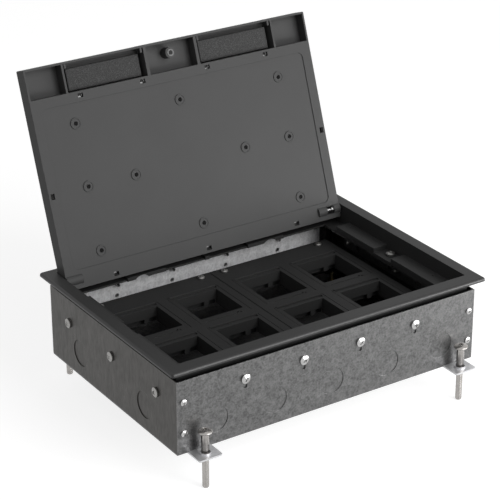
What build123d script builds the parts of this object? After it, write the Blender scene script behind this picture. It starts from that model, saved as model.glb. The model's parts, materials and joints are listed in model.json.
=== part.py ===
from build123d import *
import os
from math import sqrt

# Floor socket box, shown with its lid open.
# X runs along the long side, +Y points to the hinge side, +Z is up.
# The origin is the middle of the galvanised box's underside.

# Galvanised box
BOX_LENGTH = 315.0
BOX_WIDTH = 220.0
BOX_HEIGHT = 70.0
SHEET = 1.2
BEND_RADIUS = 1.5
PANEL_FLANGE = 9.0
PANEL_FLANGE_DROP = 14.0

# Knockouts pressed half through the walls
KNOCKOUT_RADIUS = 12.5
KNOCKOUT_PRESS = 0.6
KNOCKOUT_LINE = 0.5
KNOCKOUT_HEIGHT = 24.0
KNOCKOUT_PITCH_LONG = 60.0
KNOCKOUT_PITCH_SIDE = 56.0

# Height adjusting slots in the long walls, holes in the ends, and the screws in them
SLOT_WIDTH = 4.0
SLOT_LENGTH = 12.5
SLOT_ABOVE = 3.0
SIDE_HOLE = 2.1
WALL_SCREW_BELOW = 4.0
WALL_SCREW_PITCH = 60.0
SIDE_SCREW_RISE = 8.0
SIDE_SCREW_PITCH = 76.0
WALL_SCREW_HEAD = 4.4
WALL_SCREW_HEAD_HEIGHT = 3.0
WALL_SCREW_SHANK = 1.95
WALL_SCREW_LENGTH = 7.0

# Small screws that hold the end panels
CORNER_SCREW_INSET = 6.0
CORNER_SCREW_LOW = 20.4
CORNER_SCREW_DROP = 20.0
CORNER_SCREW_HEAD = 3.0
CORNER_SCREW_HEAD_HEIGHT = 2.0
CORNER_SCREW_SHANK = 1.45
CORNER_SCREW_LENGTH = 5.0

# Levelling lugs and screws
LUG_FROM_END = 21.0
LUG_WIDTH = 23.0
LUG_REACH = 19.0
LUG_SHEET = 1.5
LUG_ROOT = 11.0
LUG_JOGGLE = 1.8
LUG_BEND_INSIDE = 5.9
LUG_CORNER = 2.0
LUG_FIT = 0.1
LUG_COLLAR_RADIUS = 5.2
LUG_COLLAR_HEIGHT = 1.4
LEVEL_SCREW_OUT = 9.5
LEVEL_SHANK = 3.45
LEVEL_THREAD = 3.05
LEVEL_FIT = 0.05
LEVEL_HEAD = 6.5
LEVEL_HEAD_HEIGHT = 4.6
LEVEL_HEAD_TOP = 25.0
LEVEL_TIP = -32.0
LEVEL_TIP_ROUND = 1.4
LEVEL_SHOULDER = 0.4

# Trim frame
FRAME_RAISE = 9.0
FLANGE_THICK = 3.5
FLANGE_OVERHANG_END = 7.5
FLANGE_OVERHANG_SIDE = 6.0
FLANGE_EDGE = 1.1
FLANGE_CORNER = 2.0
SKIRT_WALL = 2.0
SKIRT_END_ROOM = 2.3
SKIRT_BACK_FIT = 0.4
SKIRT_FRONT_ROOM = 4.8
SKIRT_DEPTH = 19.0
FRONT_LEDGE = 10.0
SIDE_LEDGE = 16.0
LEDGE_SKIN = 2.0
LEDGE_FASCIA = 1.8
LEDGE_FASCIA_DEPTH = 6.3
LEDGE_BACK_ROOM = 18.0
LEDGE_CHAMFER = 0.4
LEDGE_RIB = 1.6
LEDGE_RIB_PITCH = 32.0
RECESS_HALF = 13.3
RECESS_BOSS = 4.6
RECESS_BOSS_HEIGHT = 0.8
RECESS_DEPTH = 4.4
LEDGE_HOLE = 0.8
LEDGE_HOLE_Y = 64.0
FRAME_SCREW_INSET = 10.0
BEAM_DEPTH = 14.8
BEAM_BELOW_LEDGE = 0.6
BEAM_DECK = 1.6
BEAM_BLOCK_RISE = 2.0
BEAM_BLOCK_DEPTH = 8.0
BEAM_RAIL_SETBACK = 1.2
BEAM_BLOCK_INNER = 45.6
BEAM_BLOCK_OUTER = 86.8
BEAM_RIB = 2.5
ARCH_X = 71.2
ARCH_RADIUS = 9.5
ARCH_RISE = 3.1
PIN_SLOT_FIT = 0.2
PIN_SLOT_SPARE = 1.0

# Brackets and rails that carry the frame and the plates
STEEL = 1.5
BRACKET_END_ROOM = 22.8
BRACKET_DROP = 22.0
BRACKET_ARM = 17.3
BRACKET_SLOT = 5.0
RAIL_END_ROOM = 16.3
RAIL_TOP_ROOM = 2.0
RAIL_HEIGHT = 20.0
RAIL_SHELF_DEPTH = 34.0
RAIL_HOLE = 2.2
RAIL_HOLE_RISE = 4.0

# Accessory plates and module frames
PLATE_ABOVE_RAIL = 11.0
PLATE_THICK = 3.0
PLATE_GAP = 0.6
PLATE_END_ROOM = 20.6
PLATE_BACK_ROOM = 18.8
PLATE_FRONT_ROOM = 15.8
PLATE_RIM = 1.8
PLATE_RIM_DEPTH = 5.0
PLATE_CORNER = 2.0
PLATE_FIT = 0.25
PILLAR_RADIUS = 4.2
PLATE_SCREW_INSET = 7.0
PLATE_SCREW_END_INSET = 14.5
PLATE_SCREW_MID = 13.0
PLATE_SCREW_HEAD = 3.4
PLATE_SCREW_HEAD_HEIGHT = 2.3
PLATE_SCREW_SHANK = 1.9
MODULE = 45.0
MODULE_PITCH_X = 64.4
MODULE_PITCH_Y = 69.9
MODULE_FIRST_X = 35.7
MODULE_WALL = 1.6
MODULE_DEPTH = 14.8
MODULE_BORDER = 4.5
MODULE_BORDER_FRONT = 7.8
MODULE_BORDER_BACK = 7.4
MODULE_BORDER_THICK = 1.4
MODULE_BORDER_CHAMFER = 0.3
LIP_HEIGHT = 1.0
LIP_THICK = 1.4
LIP_GROOVE = 3.0
LIP_GROOVE_DEPTH = 0.9
LIP_END_ROOM = 2.2
WINDOW_HEIGHT = 4.8
WINDOW_MIDDLE = 18.0
WINDOW_RIB = 5.3
STIFFENING_RIB_GAP = 3.2
STIFFENING_RIB = 1.5
STIFFENING_RIB_RISE = 1.8
CLIP_LENGTH = 8.0
CLIP_REACH = 1.2
CLIP_HEIGHT = 3.5
GROOVE_FROM = -20.0
GROOVE_TO = 12.6
GROOVE_WIDTH = 0.7
GROOVE_DEPTH = 0.8
GROOVE_INSET = 0.9
LEVER_HOLE = 1.8
LEVER_HOLE_DEPTH = 2.0
LEVER_HOLE_PITCH = 2.6
PEEP_HOLE = 1.0
PEEP_HOLE_X = -8.5

# Earth stud on the floor of the box
EARTH_FROM_END = 18.0
EARTH_FROM_BACK = 25.5
EARTH_RADIUS = 2.5
EARTH_HEIGHT = 13.0
EARTH_NUT_FLATS = 8.0
EARTH_NUT_HEIGHT = 4.0
EARTH_WASHER_RADIUS = 5.0
EARTH_WASHER_THICK = 1.0

# Lid
LID_LENGTH = 202.0
LID_THICK = 14.0
LID_SIDE_GAP = 1.0
LID_FRONT_GAP = 0.6
LID_REST_GAP = 0.2
LID_OPEN_ANGLE = 109.65
LID_LIFT = 7.8
LID_FLOOR = 3.0
LID_RIM = 2.5
LID_CORNER = 1.0
LID_BACK_CHAMFER = 2.0
LID_BACK_ROOM = 6.2
PANEL_DEPTH = 0.8
PANEL_SIDE_ROOM = 9.8
PANEL_FROM = 17.0
PANEL_STRIP_ROOM = 7.0
PANEL_CORNER = 6.0
BOSS_RADIUS = 5.2
BOSS_STEP = 1.0
BOSS_HOLE = 2.0
BOSS_OUTER_X = 110.0
BOSS_MIDDLE_X = 60.0
BOSS_HINGE_ROOM = 11.5
BOSS_STRIP_ROOM = 18.5
BOSS_MIDDLE_SHIFT = 0.75
SNAP_LENGTH = 5.2
SNAP_WIDTH = 3.8
SNAP_STRIP_ROOM = 1.5
SNAP_HINGE_V = 4.4
SNAP_SIDE_SHIFT = 1.4
SNAP_SIDE_INSET = 4.0
SNAP_ROW_X = 100.0
SNAP_MIDDLE_X = 35.0

# Front strip of the lid, with its pockets
STRIP_DEPTH = 30.5
STRIP_WALL = 2.5
STRIP_SKIN = 2.5
STRIP_FRONT_WALL = 1.8
CORNER_POCKET_FROM = 113.5
OUTLET_TO = 111.5
OUTLET_FROM = 28.5
CENTRE_POCKET = 25.5
LOCK_FROM_EDGE = 11.7
LOCK_BOSS = 5.2
LOCK_BOSS_END = 1.5
LOCK_BARREL = 2.0
LOCK_HEAD = 3.8
LOCK_HEAD_DEPTH = 1.6
LOCK_FIT = 0.06
LOCK_SLOT = 1.1
LOCK_SLOT_DEPTH = 0.9
LOCK_WASHER = 3.4
LOCK_WASHER_THICK = 0.5

# Cable outlet flaps and their foam seals
FLAP_FROM = 30.0
FLAP_TO = 110.0
FLAP_THICK = 2.6
FLAP_LIP = 1.9
FLAP_LIP_DROP = 6.5
FLAP_HINGE_ROOM = 2.1
FLAP_GAP = 0.3
OUTLET_STOP = 2.0
OUTLET_STOP_GAP = 1.0
OUTLET_STOP_DEPTH = 4.2
OUTLET_STOP_HEIGHT = 6.0
TRUNNION_RADIUS = 0.8
TRUNNION_REACH = 1.3
TRUNNION_FIT = 0.05
TRUNNION_BOSS = 2.3
SEAL_INSET = 2.0
SEAL_REAR = 0.9
SEAL_LENGTH = 20.6
SEAL_THICK = 7.0

# Steel plate in the lid
STIFFENER_THICK = 1.5
STIFFENER_SIDE_GAP = 2.5
STIFFENER_FROM = 5.0
STIFFENER_STRIP_ROOM = 2.0
STIFFENER_CORNER = 4.0
LID_SCREW_HEAD = 3.4
LID_SCREW_SHANK = 1.6
LID_SCREW_LENGTH = 4.0

# Hinge barrels and pins
HINGE_FROM_EDGE = 8.7
HINGE_INSET = 2.0
BARREL_RADIUS = 4.75
BARREL_RIGHT_LENGTH = 25.0
BARREL_LEFT_LENGTH = 16.5
BARREL_OUTER = 7.5
BARREL_SLOT = 8.0
PIN_RADIUS = 2.0
PIN_FIT = 0.05
PIN_REACH = 2.4
PIN_COLLAR = 3.4
PIN_COLLAR_WIDTH = 2.0
PIN_TRAVEL = 4.0
PIN_BORE_END = 1.5
SPRING_ROOM = 0.3
SPRING_WIRE = 0.3
SPRING_TURNS = 6

# Worked out from the sizes above
BOX_X = BOX_LENGTH / 2
BOX_Y = BOX_WIDTH / 2
INNER_X = BOX_X - SHEET
INNER_Y = BOX_Y - SHEET
PANEL_FLANGE_TOP = BOX_HEIGHT - PANEL_FLANGE_DROP
CORNER_SCREW_HIGH = BOX_HEIGHT - CORNER_SCREW_DROP
FLANGE_UNDER = BOX_HEIGHT + FRAME_RAISE
FLANGE_TOP = FLANGE_UNDER + FLANGE_THICK
SKIRT_X = INNER_X - SKIRT_END_ROOM
OPENING_X = SKIRT_X - SKIRT_WALL
SKIRT_FRONT = -INNER_Y + SKIRT_FRONT_ROOM
OPENING_FRONT = SKIRT_FRONT + SKIRT_WALL
SKIRT_BOTTOM = FLANGE_UNDER - SKIRT_DEPTH
RAIL_HALF = INNER_X - RAIL_END_ROOM
RAIL_TOP = SKIRT_BOTTOM - RAIL_TOP_ROOM
RAIL_SHELF_TOP = RAIL_TOP - RAIL_HEIGHT
RAIL_HOLE_Z = RAIL_SHELF_TOP + RAIL_HOLE_RISE
WALL_SCREW_Z = RAIL_TOP - WALL_SCREW_BELOW
BRACKET_HALF = INNER_Y - BRACKET_END_ROOM
SIDE_SCREW_Z = SKIRT_BOTTOM - BRACKET_DROP + SIDE_SCREW_RISE
LID_X = OPENING_X - LID_SIDE_GAP
LID_BACK = OPENING_FRONT + LID_FRONT_GAP + LID_LENGTH
OPENING_BACK = LID_BACK + LID_BACK_ROOM
SKIRT_BACK = INNER_Y - SKIRT_BACK_FIT
LID_UNDER = FLANGE_TOP - LID_THICK
LEDGE_TOP = LID_UNDER - LID_REST_GAP
LEDGE_INNER = OPENING_X - SIDE_LEDGE
LEDGE_FRONT = OPENING_FRONT + FRONT_LEDGE
FASCIA_BOTTOM = LEDGE_TOP - LEDGE_FASCIA_DEPTH
FRAME_SCREW_X = LEDGE_INNER + FRAME_SCREW_INSET
BEAM_FRONT = OPENING_BACK - BEAM_DEPTH
LEDGE_END = BEAM_FRONT - LEDGE_BACK_ROOM
BEAM_BOTTOM = FASCIA_BOTTOM - BEAM_BELOW_LEDGE
BEAM_TOP = BEAM_BOTTOM + BEAM_DECK
RECESS_FLOOR = LEDGE_TOP - RECESS_DEPTH
RECESS_BOSS_TOP = RECESS_FLOOR + RECESS_BOSS_HEIGHT
HINGE_Y = LID_BACK - HINGE_FROM_EDGE
HINGE_Z = LID_UNDER + HINGE_INSET
HINGE_AXIS = Axis((0, HINGE_Y, HINGE_Z), (1, 0, 0))
PLATE_X = INNER_X - PLATE_END_ROOM
PLATE_BACK = INNER_Y - PLATE_BACK_ROOM
PLATE_FRONT = -INNER_Y + PLATE_FRONT_ROOM
PLATE_TOP = RAIL_SHELF_TOP + PLATE_ABOVE_RAIL
PLATE_UNDER = PLATE_TOP - PLATE_THICK
MODULE_MIDDLE_Y = (PLATE_BACK + PLATE_FRONT) / 2
EARTH_X = BOX_X - EARTH_FROM_END
EARTH_Y = BOX_Y - EARTH_FROM_BACK
LUG_CENTRE = BOX_X - LUG_FROM_END
LEVEL_Y = BOX_Y + LEVEL_SCREW_OUT
LUG_NOTCH = SHEET + LUG_BEND_INSIDE
STRIP_FROM = LID_LENGTH - STRIP_DEPTH
STRIP_INNER = STRIP_FROM + STRIP_WALL
LOCK_V = LID_LENGTH - LOCK_FROM_EDGE
FLAP_HINGE_V = STRIP_INNER + FLAP_HINGE_ROOM
FLAP_REAR = FLAP_THICK / 2
FLAP_HINGE_Z = FLANGE_TOP - FLAP_REAR
PANEL_HALF = LID_X - PANEL_SIDE_ROOM
PANEL_TO = STRIP_FROM - PANEL_STRIP_ROOM
STIFFENER_TO = STRIP_FROM - STIFFENER_STRIP_ROOM
BOSS_FIRST_V = PANEL_FROM + BOSS_HINGE_ROOM
BOSS_LAST_V = PANEL_TO - BOSS_STRIP_ROOM
BOSS_MIDDLE_V = (BOSS_FIRST_V + BOSS_LAST_V) / 2 + BOSS_MIDDLE_SHIFT
BOSS_ROWS = (BOSS_FIRST_V, BOSS_MIDDLE_V, BOSS_LAST_V)
SNAP_FRONT_V = STRIP_FROM - SNAP_STRIP_ROOM
SNAP_SIDE_V = BOSS_MIDDLE_V - SNAP_SIDE_SHIFT
SNAP_SIDE_X = LID_X - SNAP_SIDE_INSET
BARREL_INNER_RIGHT = LID_X - BARREL_RIGHT_LENGTH
BARREL_INNER_LEFT = LID_X - BARREL_LEFT_LENGTH
BARREL_SLOT_OUT = LID_X - BARREL_OUTER
BARREL_SLOT_IN = BARREL_SLOT_OUT - BARREL_SLOT


def block(x0, x1, y0, y1, z0, z1):
    """A box between two corners."""
    size = (x1 - x0, y1 - y0, z1 - z0)
    return Pos((x0 + x1) / 2, (y0 + y1) / 2, (z0 + z1) / 2) * Box(*size)


def rod_z(x, y, radius, z0, z1):
    """An upright cylinder from z0 to z1."""
    return Pos(x, y, (z0 + z1) / 2) * Cylinder(radius, z1 - z0)


def rod_x(y, z, radius, x0, x1):
    """A cylinder along X from x0 to x1."""
    return Pos((x0 + x1) / 2, y, z) * Rot(0, 90, 0) * Cylinder(radius, x1 - x0)


def rod_y(x, z, radius, y0, y1):
    """A cylinder along Y from y0 to y1."""
    return Pos(x, (y0 + y1) / 2, z) * Rot(90, 0, 0) * Cylinder(radius, y1 - y0)


def left(shape):
    """The same piece at the other end of the box."""
    return mirror(shape, Plane.YZ)


def front(shape):
    """The same piece on the front side of the box."""
    return mirror(shape, Plane.XZ)


def save(name, *shapes):
    """Writes one node, with each of its solids separate."""
    solids = [solid for shape in shapes for solid in shape.solids()]
    export_step(Compound(solids), f"parts/{name}.step")


def pan_screw(head, head_height, shank, length):
    """A pan head screw with a cross recess, its head up and the seat at z = 0."""
    crown = head_height * 0.45
    round_radius = (head ** 2 + crown ** 2) / (2 * crown)
    middle = head_height - round_radius + sqrt(round_radius ** 2 - head ** 2 / 4)
    outline = Polyline((0, 0), (head, 0), (head, head_height - crown))
    dome = ThreePointArc((head, head_height - crown), (head / 2, middle), (0, head_height))
    face = make_face([outline, dome, Line((0, head_height), (0, 0))])
    body = revolve(Plane.XZ * face, Axis.Z) + rod_z(0, 0, shank, -length, 0)
    arm = head * 0.52
    depth = head_height * 0.5
    recess = block(-arm, arm, -head * 0.12, head * 0.12, head_height - depth, head_height + 1)
    return body - recess - Rot(0, 0, 90) * recess


def slot_cutter(z_screw):
    """An upright slot with round ends, cut along Y at the origin."""
    top = z_screw + SLOT_ABOVE - SLOT_WIDTH / 2
    low = top - SLOT_LENGTH + SLOT_WIDTH
    half = SLOT_WIDTH / 2
    cutter = block(-half, half, -2 * SHEET, 2 * SHEET, low, top)
    return cutter + rod_y(0, top, half, -2 * SHEET, 2 * SHEET) + rod_y(0, low, half, -2 * SHEET, 2 * SHEET)


def press_knockout(wall, spot):
    """Presses one knockout half through a wall that faces -Y at y = 0 of the spot."""
    inner = KNOCKOUT_RADIUS - KNOCKOUT_LINE
    wall += spot * rod_y(0, KNOCKOUT_HEIGHT, inner, SHEET / 2, SHEET + KNOCKOUT_PRESS / 2)
    return wall - spot * rod_y(0, KNOCKOUT_HEIGHT, KNOCKOUT_RADIUS, -1, KNOCKOUT_PRESS)


def wall_screw_places():
    """X of the screws along one long wall."""
    return [WALL_SCREW_PITCH * step for step in (-1.5, -0.5, 0.5, 1.5)]


def box_tray():
    """Floor, front and back walls, folded from one sheet."""
    tray = block(-BOX_X, BOX_X, -BOX_Y, BOX_Y, 0, BOX_HEIGHT)
    bends = tray.edges().filter_by(Axis.X).group_by(Axis.Z)[0]
    tray = fillet(bends, BEND_RADIUS)
    inside = block(-BOX_X - 1, BOX_X + 1, -INNER_Y, INNER_Y, SHEET, BOX_HEIGHT + 1)
    tray -= inside
    half = LUG_WIDTH / 2 + LUG_FIT
    for side in (-1, 1):
        place = Rot(0, 0, 90 + 90 * side) * Pos(0, -BOX_Y, 0)
        for step in range(-2, 3):
            tray = press_knockout(tray, place * Pos(step * KNOCKOUT_PITCH_LONG, 0, 0))
        for x in wall_screw_places():
            tray -= place * Pos(x, 0, 0) * slot_cutter(WALL_SCREW_Z)
        for x in (-LUG_CENTRE, LUG_CENTRE):
            notch = block(x - half, x + half, -2, LUG_NOTCH, -1, LUG_SHEET + LUG_FIT)
            tray -= place * notch
        for x in (-1, 1):
            for z in (CORNER_SCREW_LOW, CORNER_SCREW_HIGH):
                tray -= place * rod_y(x * (BOX_X - CORNER_SCREW_INSET), z, CORNER_SCREW_SHANK, -1, SHEET + 1)
    return tray


def end_panel_right():
    """End wall with three flanges folded inwards."""
    inner = BOX_X - PANEL_FLANGE
    panel = block(BOX_X - SHEET, BOX_X, -INNER_Y, INNER_Y, SHEET, BOX_HEIGHT)
    panel += block(inner, BOX_X, -INNER_Y, INNER_Y, SHEET, 2 * SHEET)
    for side in (-1, 1):
        near, far = sorted((side * INNER_Y, side * (INNER_Y - SHEET)))
        panel += block(inner, BOX_X, near, far, SHEET, PANEL_FLANGE_TOP)
    turn = Pos(BOX_X, 0, 0) * Rot(0, 0, 90)
    for y in (-KNOCKOUT_PITCH_SIDE, KNOCKOUT_PITCH_SIDE):
        panel = press_knockout(panel, turn * Pos(y, 0, 0))
    for y in (-SIDE_SCREW_PITCH, 0, SIDE_SCREW_PITCH):
        panel -= turn * Pos(y, 0, 0) * rod_y(0, SIDE_SCREW_Z, SIDE_HOLE, -2 * SHEET, 2 * SHEET)
    for side in (-1, 1):
        for z in (CORNER_SCREW_LOW, CORNER_SCREW_HIGH):
            hole = rod_y(BOX_X - CORNER_SCREW_INSET, z, CORNER_SCREW_SHANK, INNER_Y - SHEET - 1, INNER_Y + 1)
            panel -= hole if side > 0 else front(hole)
    return panel


def corner_screws():
    """Eight small screws through the long walls into the end panels."""
    screw = pan_screw(CORNER_SCREW_HEAD, CORNER_SCREW_HEAD_HEIGHT, CORNER_SCREW_SHANK, CORNER_SCREW_LENGTH)
    screws = []
    for x in (-1, 1):
        for z in (CORNER_SCREW_LOW, CORNER_SCREW_HIGH):
            back = Pos(x * (BOX_X - CORNER_SCREW_INSET), BOX_Y, z) * Rot(-90, 0, 0) * screw
            screws += [back, front(back)]
    return screws


def levelling_lug():
    """Back right lug: a joggled strap on the floor that comes out under the wall."""
    bend = BOX_Y - LUG_NOTCH
    root_end = bend - LUG_ROOT
    tip = BOX_Y + LUG_REACH
    outline = Polyline(
        (tip, 0), (bend + LUG_JOGGLE, 0), (bend + LUG_FIT, SHEET), (root_end, SHEET),
        (root_end, SHEET + LUG_SHEET), (bend - LUG_FIT * 2, SHEET + LUG_SHEET),
        (bend + LUG_JOGGLE - LUG_FIT * 3, LUG_SHEET), (tip, LUG_SHEET), close=True)
    half = LUG_WIDTH / 2
    strap = extrude(Plane.YZ * make_face(outline), amount=half, both=True)
    tip_edges = strap.edges().filter_by(Axis.Z).group_by(Axis.Y)[-1]
    strap = fillet(tip_edges, LUG_CORNER)
    strap += rod_z(0, LEVEL_Y, LUG_COLLAR_RADIUS, LUG_SHEET / 2, LUG_COLLAR_HEIGHT + LUG_SHEET)
    strap -= rod_z(0, LEVEL_Y, LUG_COLLAR_RADIUS - LUG_SHEET / 2, LUG_SHEET, LUG_SHEET * 4)
    strap -= rod_z(0, LEVEL_Y, LEVEL_THREAD + LEVEL_FIT, -1, LUG_SHEET * 4)
    return Pos(LUG_CENTRE, 0, 0) * strap


def levelling_screw():
    """Back right levelling screw: domed head, thick shank, thinner thread below."""
    head_bottom = LEVEL_HEAD_TOP - LEVEL_HEAD_HEIGHT
    shoulder = LUG_SHEET + LEVEL_SHOULDER
    screw = pan_screw(LEVEL_HEAD, LEVEL_HEAD_HEIGHT, LEVEL_SHANK, head_bottom - shoulder)
    thread = rod_z(0, 0, LEVEL_THREAD, LEVEL_TIP, shoulder)
    thread = fillet(thread.edges().group_by(Axis.Z)[0], LEVEL_TIP_ROUND)
    return Pos(LUG_CENTRE, LEVEL_Y, 0) * (Pos(0, 0, head_bottom) * screw + thread)


def ring(x_out, y_low, y_high, wall_x, wall_low, wall_high, z0, z1):
    """A rectangular ring, its walls given inwards from the outside."""
    outer = block(-x_out, x_out, y_low, y_high, z0, z1)
    hole = block(-x_out + wall_x, x_out - wall_x, y_low + wall_low, y_high - wall_high, z0 - 1, z1 + 1)
    return outer - hole


def frame_flange():
    """The visible trim: a flat ring whose outer edge falls away in a round."""
    x = BOX_X + FLANGE_OVERHANG_END
    y = BOX_Y + FLANGE_OVERHANG_SIDE
    plate = block(-x, x, -y, y, FLANGE_UNDER, FLANGE_TOP)
    plate = fillet(plate.edges().filter_by(Axis.Z), FLANGE_CORNER)
    plate = fillet(plate.edges().group_by(Axis.Z)[-1], FLANGE_THICK - FLANGE_EDGE)
    plate -= block(-OPENING_X, OPENING_X, OPENING_FRONT, OPENING_BACK, FLANGE_UNDER - 1, FLANGE_TOP + 1)
    return plate


def side_ledge_right():
    """Lid ledge along the right end, with a sunk place for the frame screw."""
    ledge = block(LEDGE_INNER, SKIRT_X, OPENING_FRONT, LEDGE_END, FASCIA_BOTTOM, LEDGE_TOP)
    ledge = chamfer(ledge.edges().filter_by(Axis.Y).group_by(Axis.Z)[-1].sort_by(Axis.X)[0], LEDGE_CHAMFER)
    under = LEDGE_TOP - LEDGE_SKIN
    inside = LEDGE_INNER + LEDGE_FASCIA
    first = OPENING_FRONT + FRONT_LEDGE
    last = LEDGE_END - LEDGE_FASCIA
    count = round((last - first) / LEDGE_RIB_PITCH)
    pitch = (last - first) / count
    for step in range(count):
        y0 = first + step * pitch
        y1 = y0 + pitch - (LEDGE_RIB if step < count - 1 else 0)
        ledge -= block(inside, OPENING_X, y0, y1, FASCIA_BOTTOM - 1, under)
    wall = LEDGE_FASCIA
    ledge += block(LEDGE_INNER, SKIRT_X, -RECESS_HALF - wall, RECESS_HALF + wall, SKIRT_BOTTOM, under)
    ledge -= block(LEDGE_INNER - 1, OPENING_X, -RECESS_HALF, RECESS_HALF, RECESS_FLOOR, LEDGE_TOP + 1)
    ledge += rod_z(FRAME_SCREW_X, 0, RECESS_BOSS, SKIRT_BOTTOM, RECESS_BOSS_TOP)
    ledge -= rod_z(FRAME_SCREW_X, 0, WALL_SCREW_SHANK, SKIRT_BOTTOM - 1, RECESS_BOSS_TOP + 1)
    for y in (-LEDGE_HOLE_Y, LEDGE_HOLE_Y):
        ledge -= rod_z(FRAME_SCREW_X, y, LEDGE_HOLE, under - 1, LEDGE_TOP + 1)
    return ledge


def hinge_beam():
    """Low deck along the hinge side, with blocks, a middle rib and two arches."""
    beam = block(-OPENING_X, OPENING_X, BEAM_FRONT + BEAM_RAIL_SETBACK, OPENING_BACK, BEAM_BOTTOM, BEAM_TOP)
    rise = BEAM_TOP + BEAM_BLOCK_RISE
    deep = BEAM_FRONT + BEAM_BLOCK_DEPTH
    beam += block(-BEAM_RIB, BEAM_RIB, BEAM_FRONT, deep, BEAM_BOTTOM, rise)
    for side in (-1, 1):
        x0, x1 = sorted((side * BEAM_BLOCK_INNER, side * BEAM_BLOCK_OUTER))
        beam += block(x0, x1, BEAM_FRONT, deep, BEAM_BOTTOM, rise)
        x0, x1 = sorted((side * LEDGE_INNER, side * OPENING_X))
        beam += block(x0, x1, LEDGE_END - LEDGE_FASCIA, OPENING_BACK, BEAM_BOTTOM, BEAM_TOP)
        arch_z = BEAM_BOTTOM + ARCH_RISE - ARCH_RADIUS
        beam -= rod_y(side * ARCH_X, arch_z, ARCH_RADIUS, BEAM_FRONT - 1, deep + 1)
    return beam


def trim_frame():
    """The moulded frame: flange, skirt, lid ledges and hinge beam."""
    y_front = SKIRT_FRONT
    wall_back = SKIRT_BACK - OPENING_BACK
    skirt = ring(SKIRT_X, y_front, SKIRT_BACK, SKIRT_WALL, SKIRT_WALL, wall_back, SKIRT_BOTTOM, FLANGE_UNDER)
    frame = frame_flange() + skirt
    ledge = side_ledge_right()
    frame += ledge
    frame += left(ledge)
    front_ledge = block(-LEDGE_INNER - 1, LEDGE_INNER + 1, SKIRT_FRONT, LEDGE_FRONT, FASCIA_BOTTOM, LEDGE_TOP)
    front_ledge -= block(-LEDGE_INNER, LEDGE_INNER, OPENING_FRONT, LEDGE_FRONT - LEDGE_FASCIA,
                         FASCIA_BOTTOM - 1, LEDGE_TOP - LEDGE_SKIN)
    frame += front_ledge
    frame += hinge_beam()
    half = PIN_RADIUS + PIN_SLOT_FIT
    low = HINGE_Z - half - PIN_SLOT_SPARE
    high = HINGE_Z + LID_LIFT + half
    for side in (-1, 1):
        x0, x1 = sorted((side * (OPENING_X - 1), side * (SKIRT_X + 0.01)))
        frame -= block(x0, x1, HINGE_Y - half, HINGE_Y + half, low, high)
    return frame


def frame_fixing_screws():
    """Two screws that pull the frame down onto the side brackets."""
    length = RECESS_BOSS_TOP - SKIRT_BOTTOM + 4 * STEEL
    screw = pan_screw(WALL_SCREW_HEAD, WALL_SCREW_HEAD_HEIGHT, WALL_SCREW_SHANK, length)
    right = Pos(FRAME_SCREW_X, 0, RECESS_BOSS_TOP) * screw
    return [right, left(right)]


def side_bracket_right():
    """Steel angle inside the end wall that carries the trim frame."""
    top = SKIRT_BOTTOM
    low = top - BRACKET_DROP
    inner = INNER_X - BRACKET_ARM
    bracket = block(INNER_X - STEEL, INNER_X, -BRACKET_HALF, BRACKET_HALF, low, top)
    bracket += block(inner, INNER_X, -BRACKET_HALF, BRACKET_HALF, top - STEEL, top)
    outer_bend = bracket.edges().filter_by(Axis.Y).group_by(Axis.Z)[-1].sort_by(Axis.X)[-1]
    bracket = fillet(outer_bend, STEEL * 0.8)
    for y in (-SIDE_SCREW_PITCH, 0, SIDE_SCREW_PITCH):
        bracket -= rod_x(y, SIDE_SCREW_Z, WALL_SCREW_SHANK, INNER_X - 3 * STEEL, INNER_X + 1)
        beside = y + 2.4 * BRACKET_SLOT * (-1 if y > 0 else 1)
        bracket -= block(INNER_X - 3 * STEEL, INNER_X + 1, beside - BRACKET_SLOT / 2,
                         beside + BRACKET_SLOT / 2, low + 2 * STEEL, top - 4 * STEEL)
    bracket -= rod_z(FRAME_SCREW_X, 0, WALL_SCREW_SHANK, top - 3 * STEEL, top + 1)
    return bracket


def side_bracket_screws():
    """Six screws through the slots of the end walls."""
    screw = pan_screw(WALL_SCREW_HEAD, WALL_SCREW_HEAD_HEIGHT, WALL_SCREW_SHANK, WALL_SCREW_LENGTH)
    screws = []
    for y in (-SIDE_SCREW_PITCH, 0, SIDE_SCREW_PITCH):
        right = Pos(BOX_X, y, SIDE_SCREW_Z) * Rot(0, 90, 0) * screw
        screws += [right, left(right)]
    return screws


def plate_screw_places():
    """Corner screws of the two plates, as (x, y)."""
    outer = PLATE_X - PLATE_SCREW_END_INSET
    rows = (PLATE_FRONT + PLATE_SCREW_INSET, PLATE_BACK - PLATE_SCREW_INSET)
    return [(x, y) for x in (PLATE_SCREW_MID, outer) for y in rows]


def mounting_rail_back():
    """Steel angle on the back wall whose shelf carries the accessory plates."""
    low = RAIL_SHELF_TOP - STEEL
    rail = block(-RAIL_HALF, RAIL_HALF, INNER_Y - STEEL, INNER_Y, low, RAIL_TOP)
    rail += block(-RAIL_HALF, RAIL_HALF, INNER_Y - RAIL_SHELF_DEPTH, INNER_Y, low, RAIL_SHELF_TOP)
    bend = rail.edges().filter_by(Axis.X).group_by(Axis.Z)[0].sort_by(Axis.Y)[-1]
    rail = fillet(bend, STEEL * 0.8)
    for x in wall_screw_places():
        rail -= rod_y(x, WALL_SCREW_Z, WALL_SCREW_SHANK, INNER_Y - 3 * STEEL, INNER_Y + 1)
        rail -= rod_y(x, RAIL_HOLE_Z, RAIL_HOLE, INNER_Y - 3 * STEEL, INNER_Y + 1)
    return rail


def drill_rail(rail, side):
    """Screw holes for the plates, on the back (1) or the front (-1) shelf."""
    for x, y in plate_screw_places():
        if y * side > 0:
            for hole_x in (-x, x):
                rail -= rod_z(hole_x, y, PLATE_SCREW_SHANK, RAIL_SHELF_TOP - 3 * STEEL, RAIL_SHELF_TOP + 1)
    return rail


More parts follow.
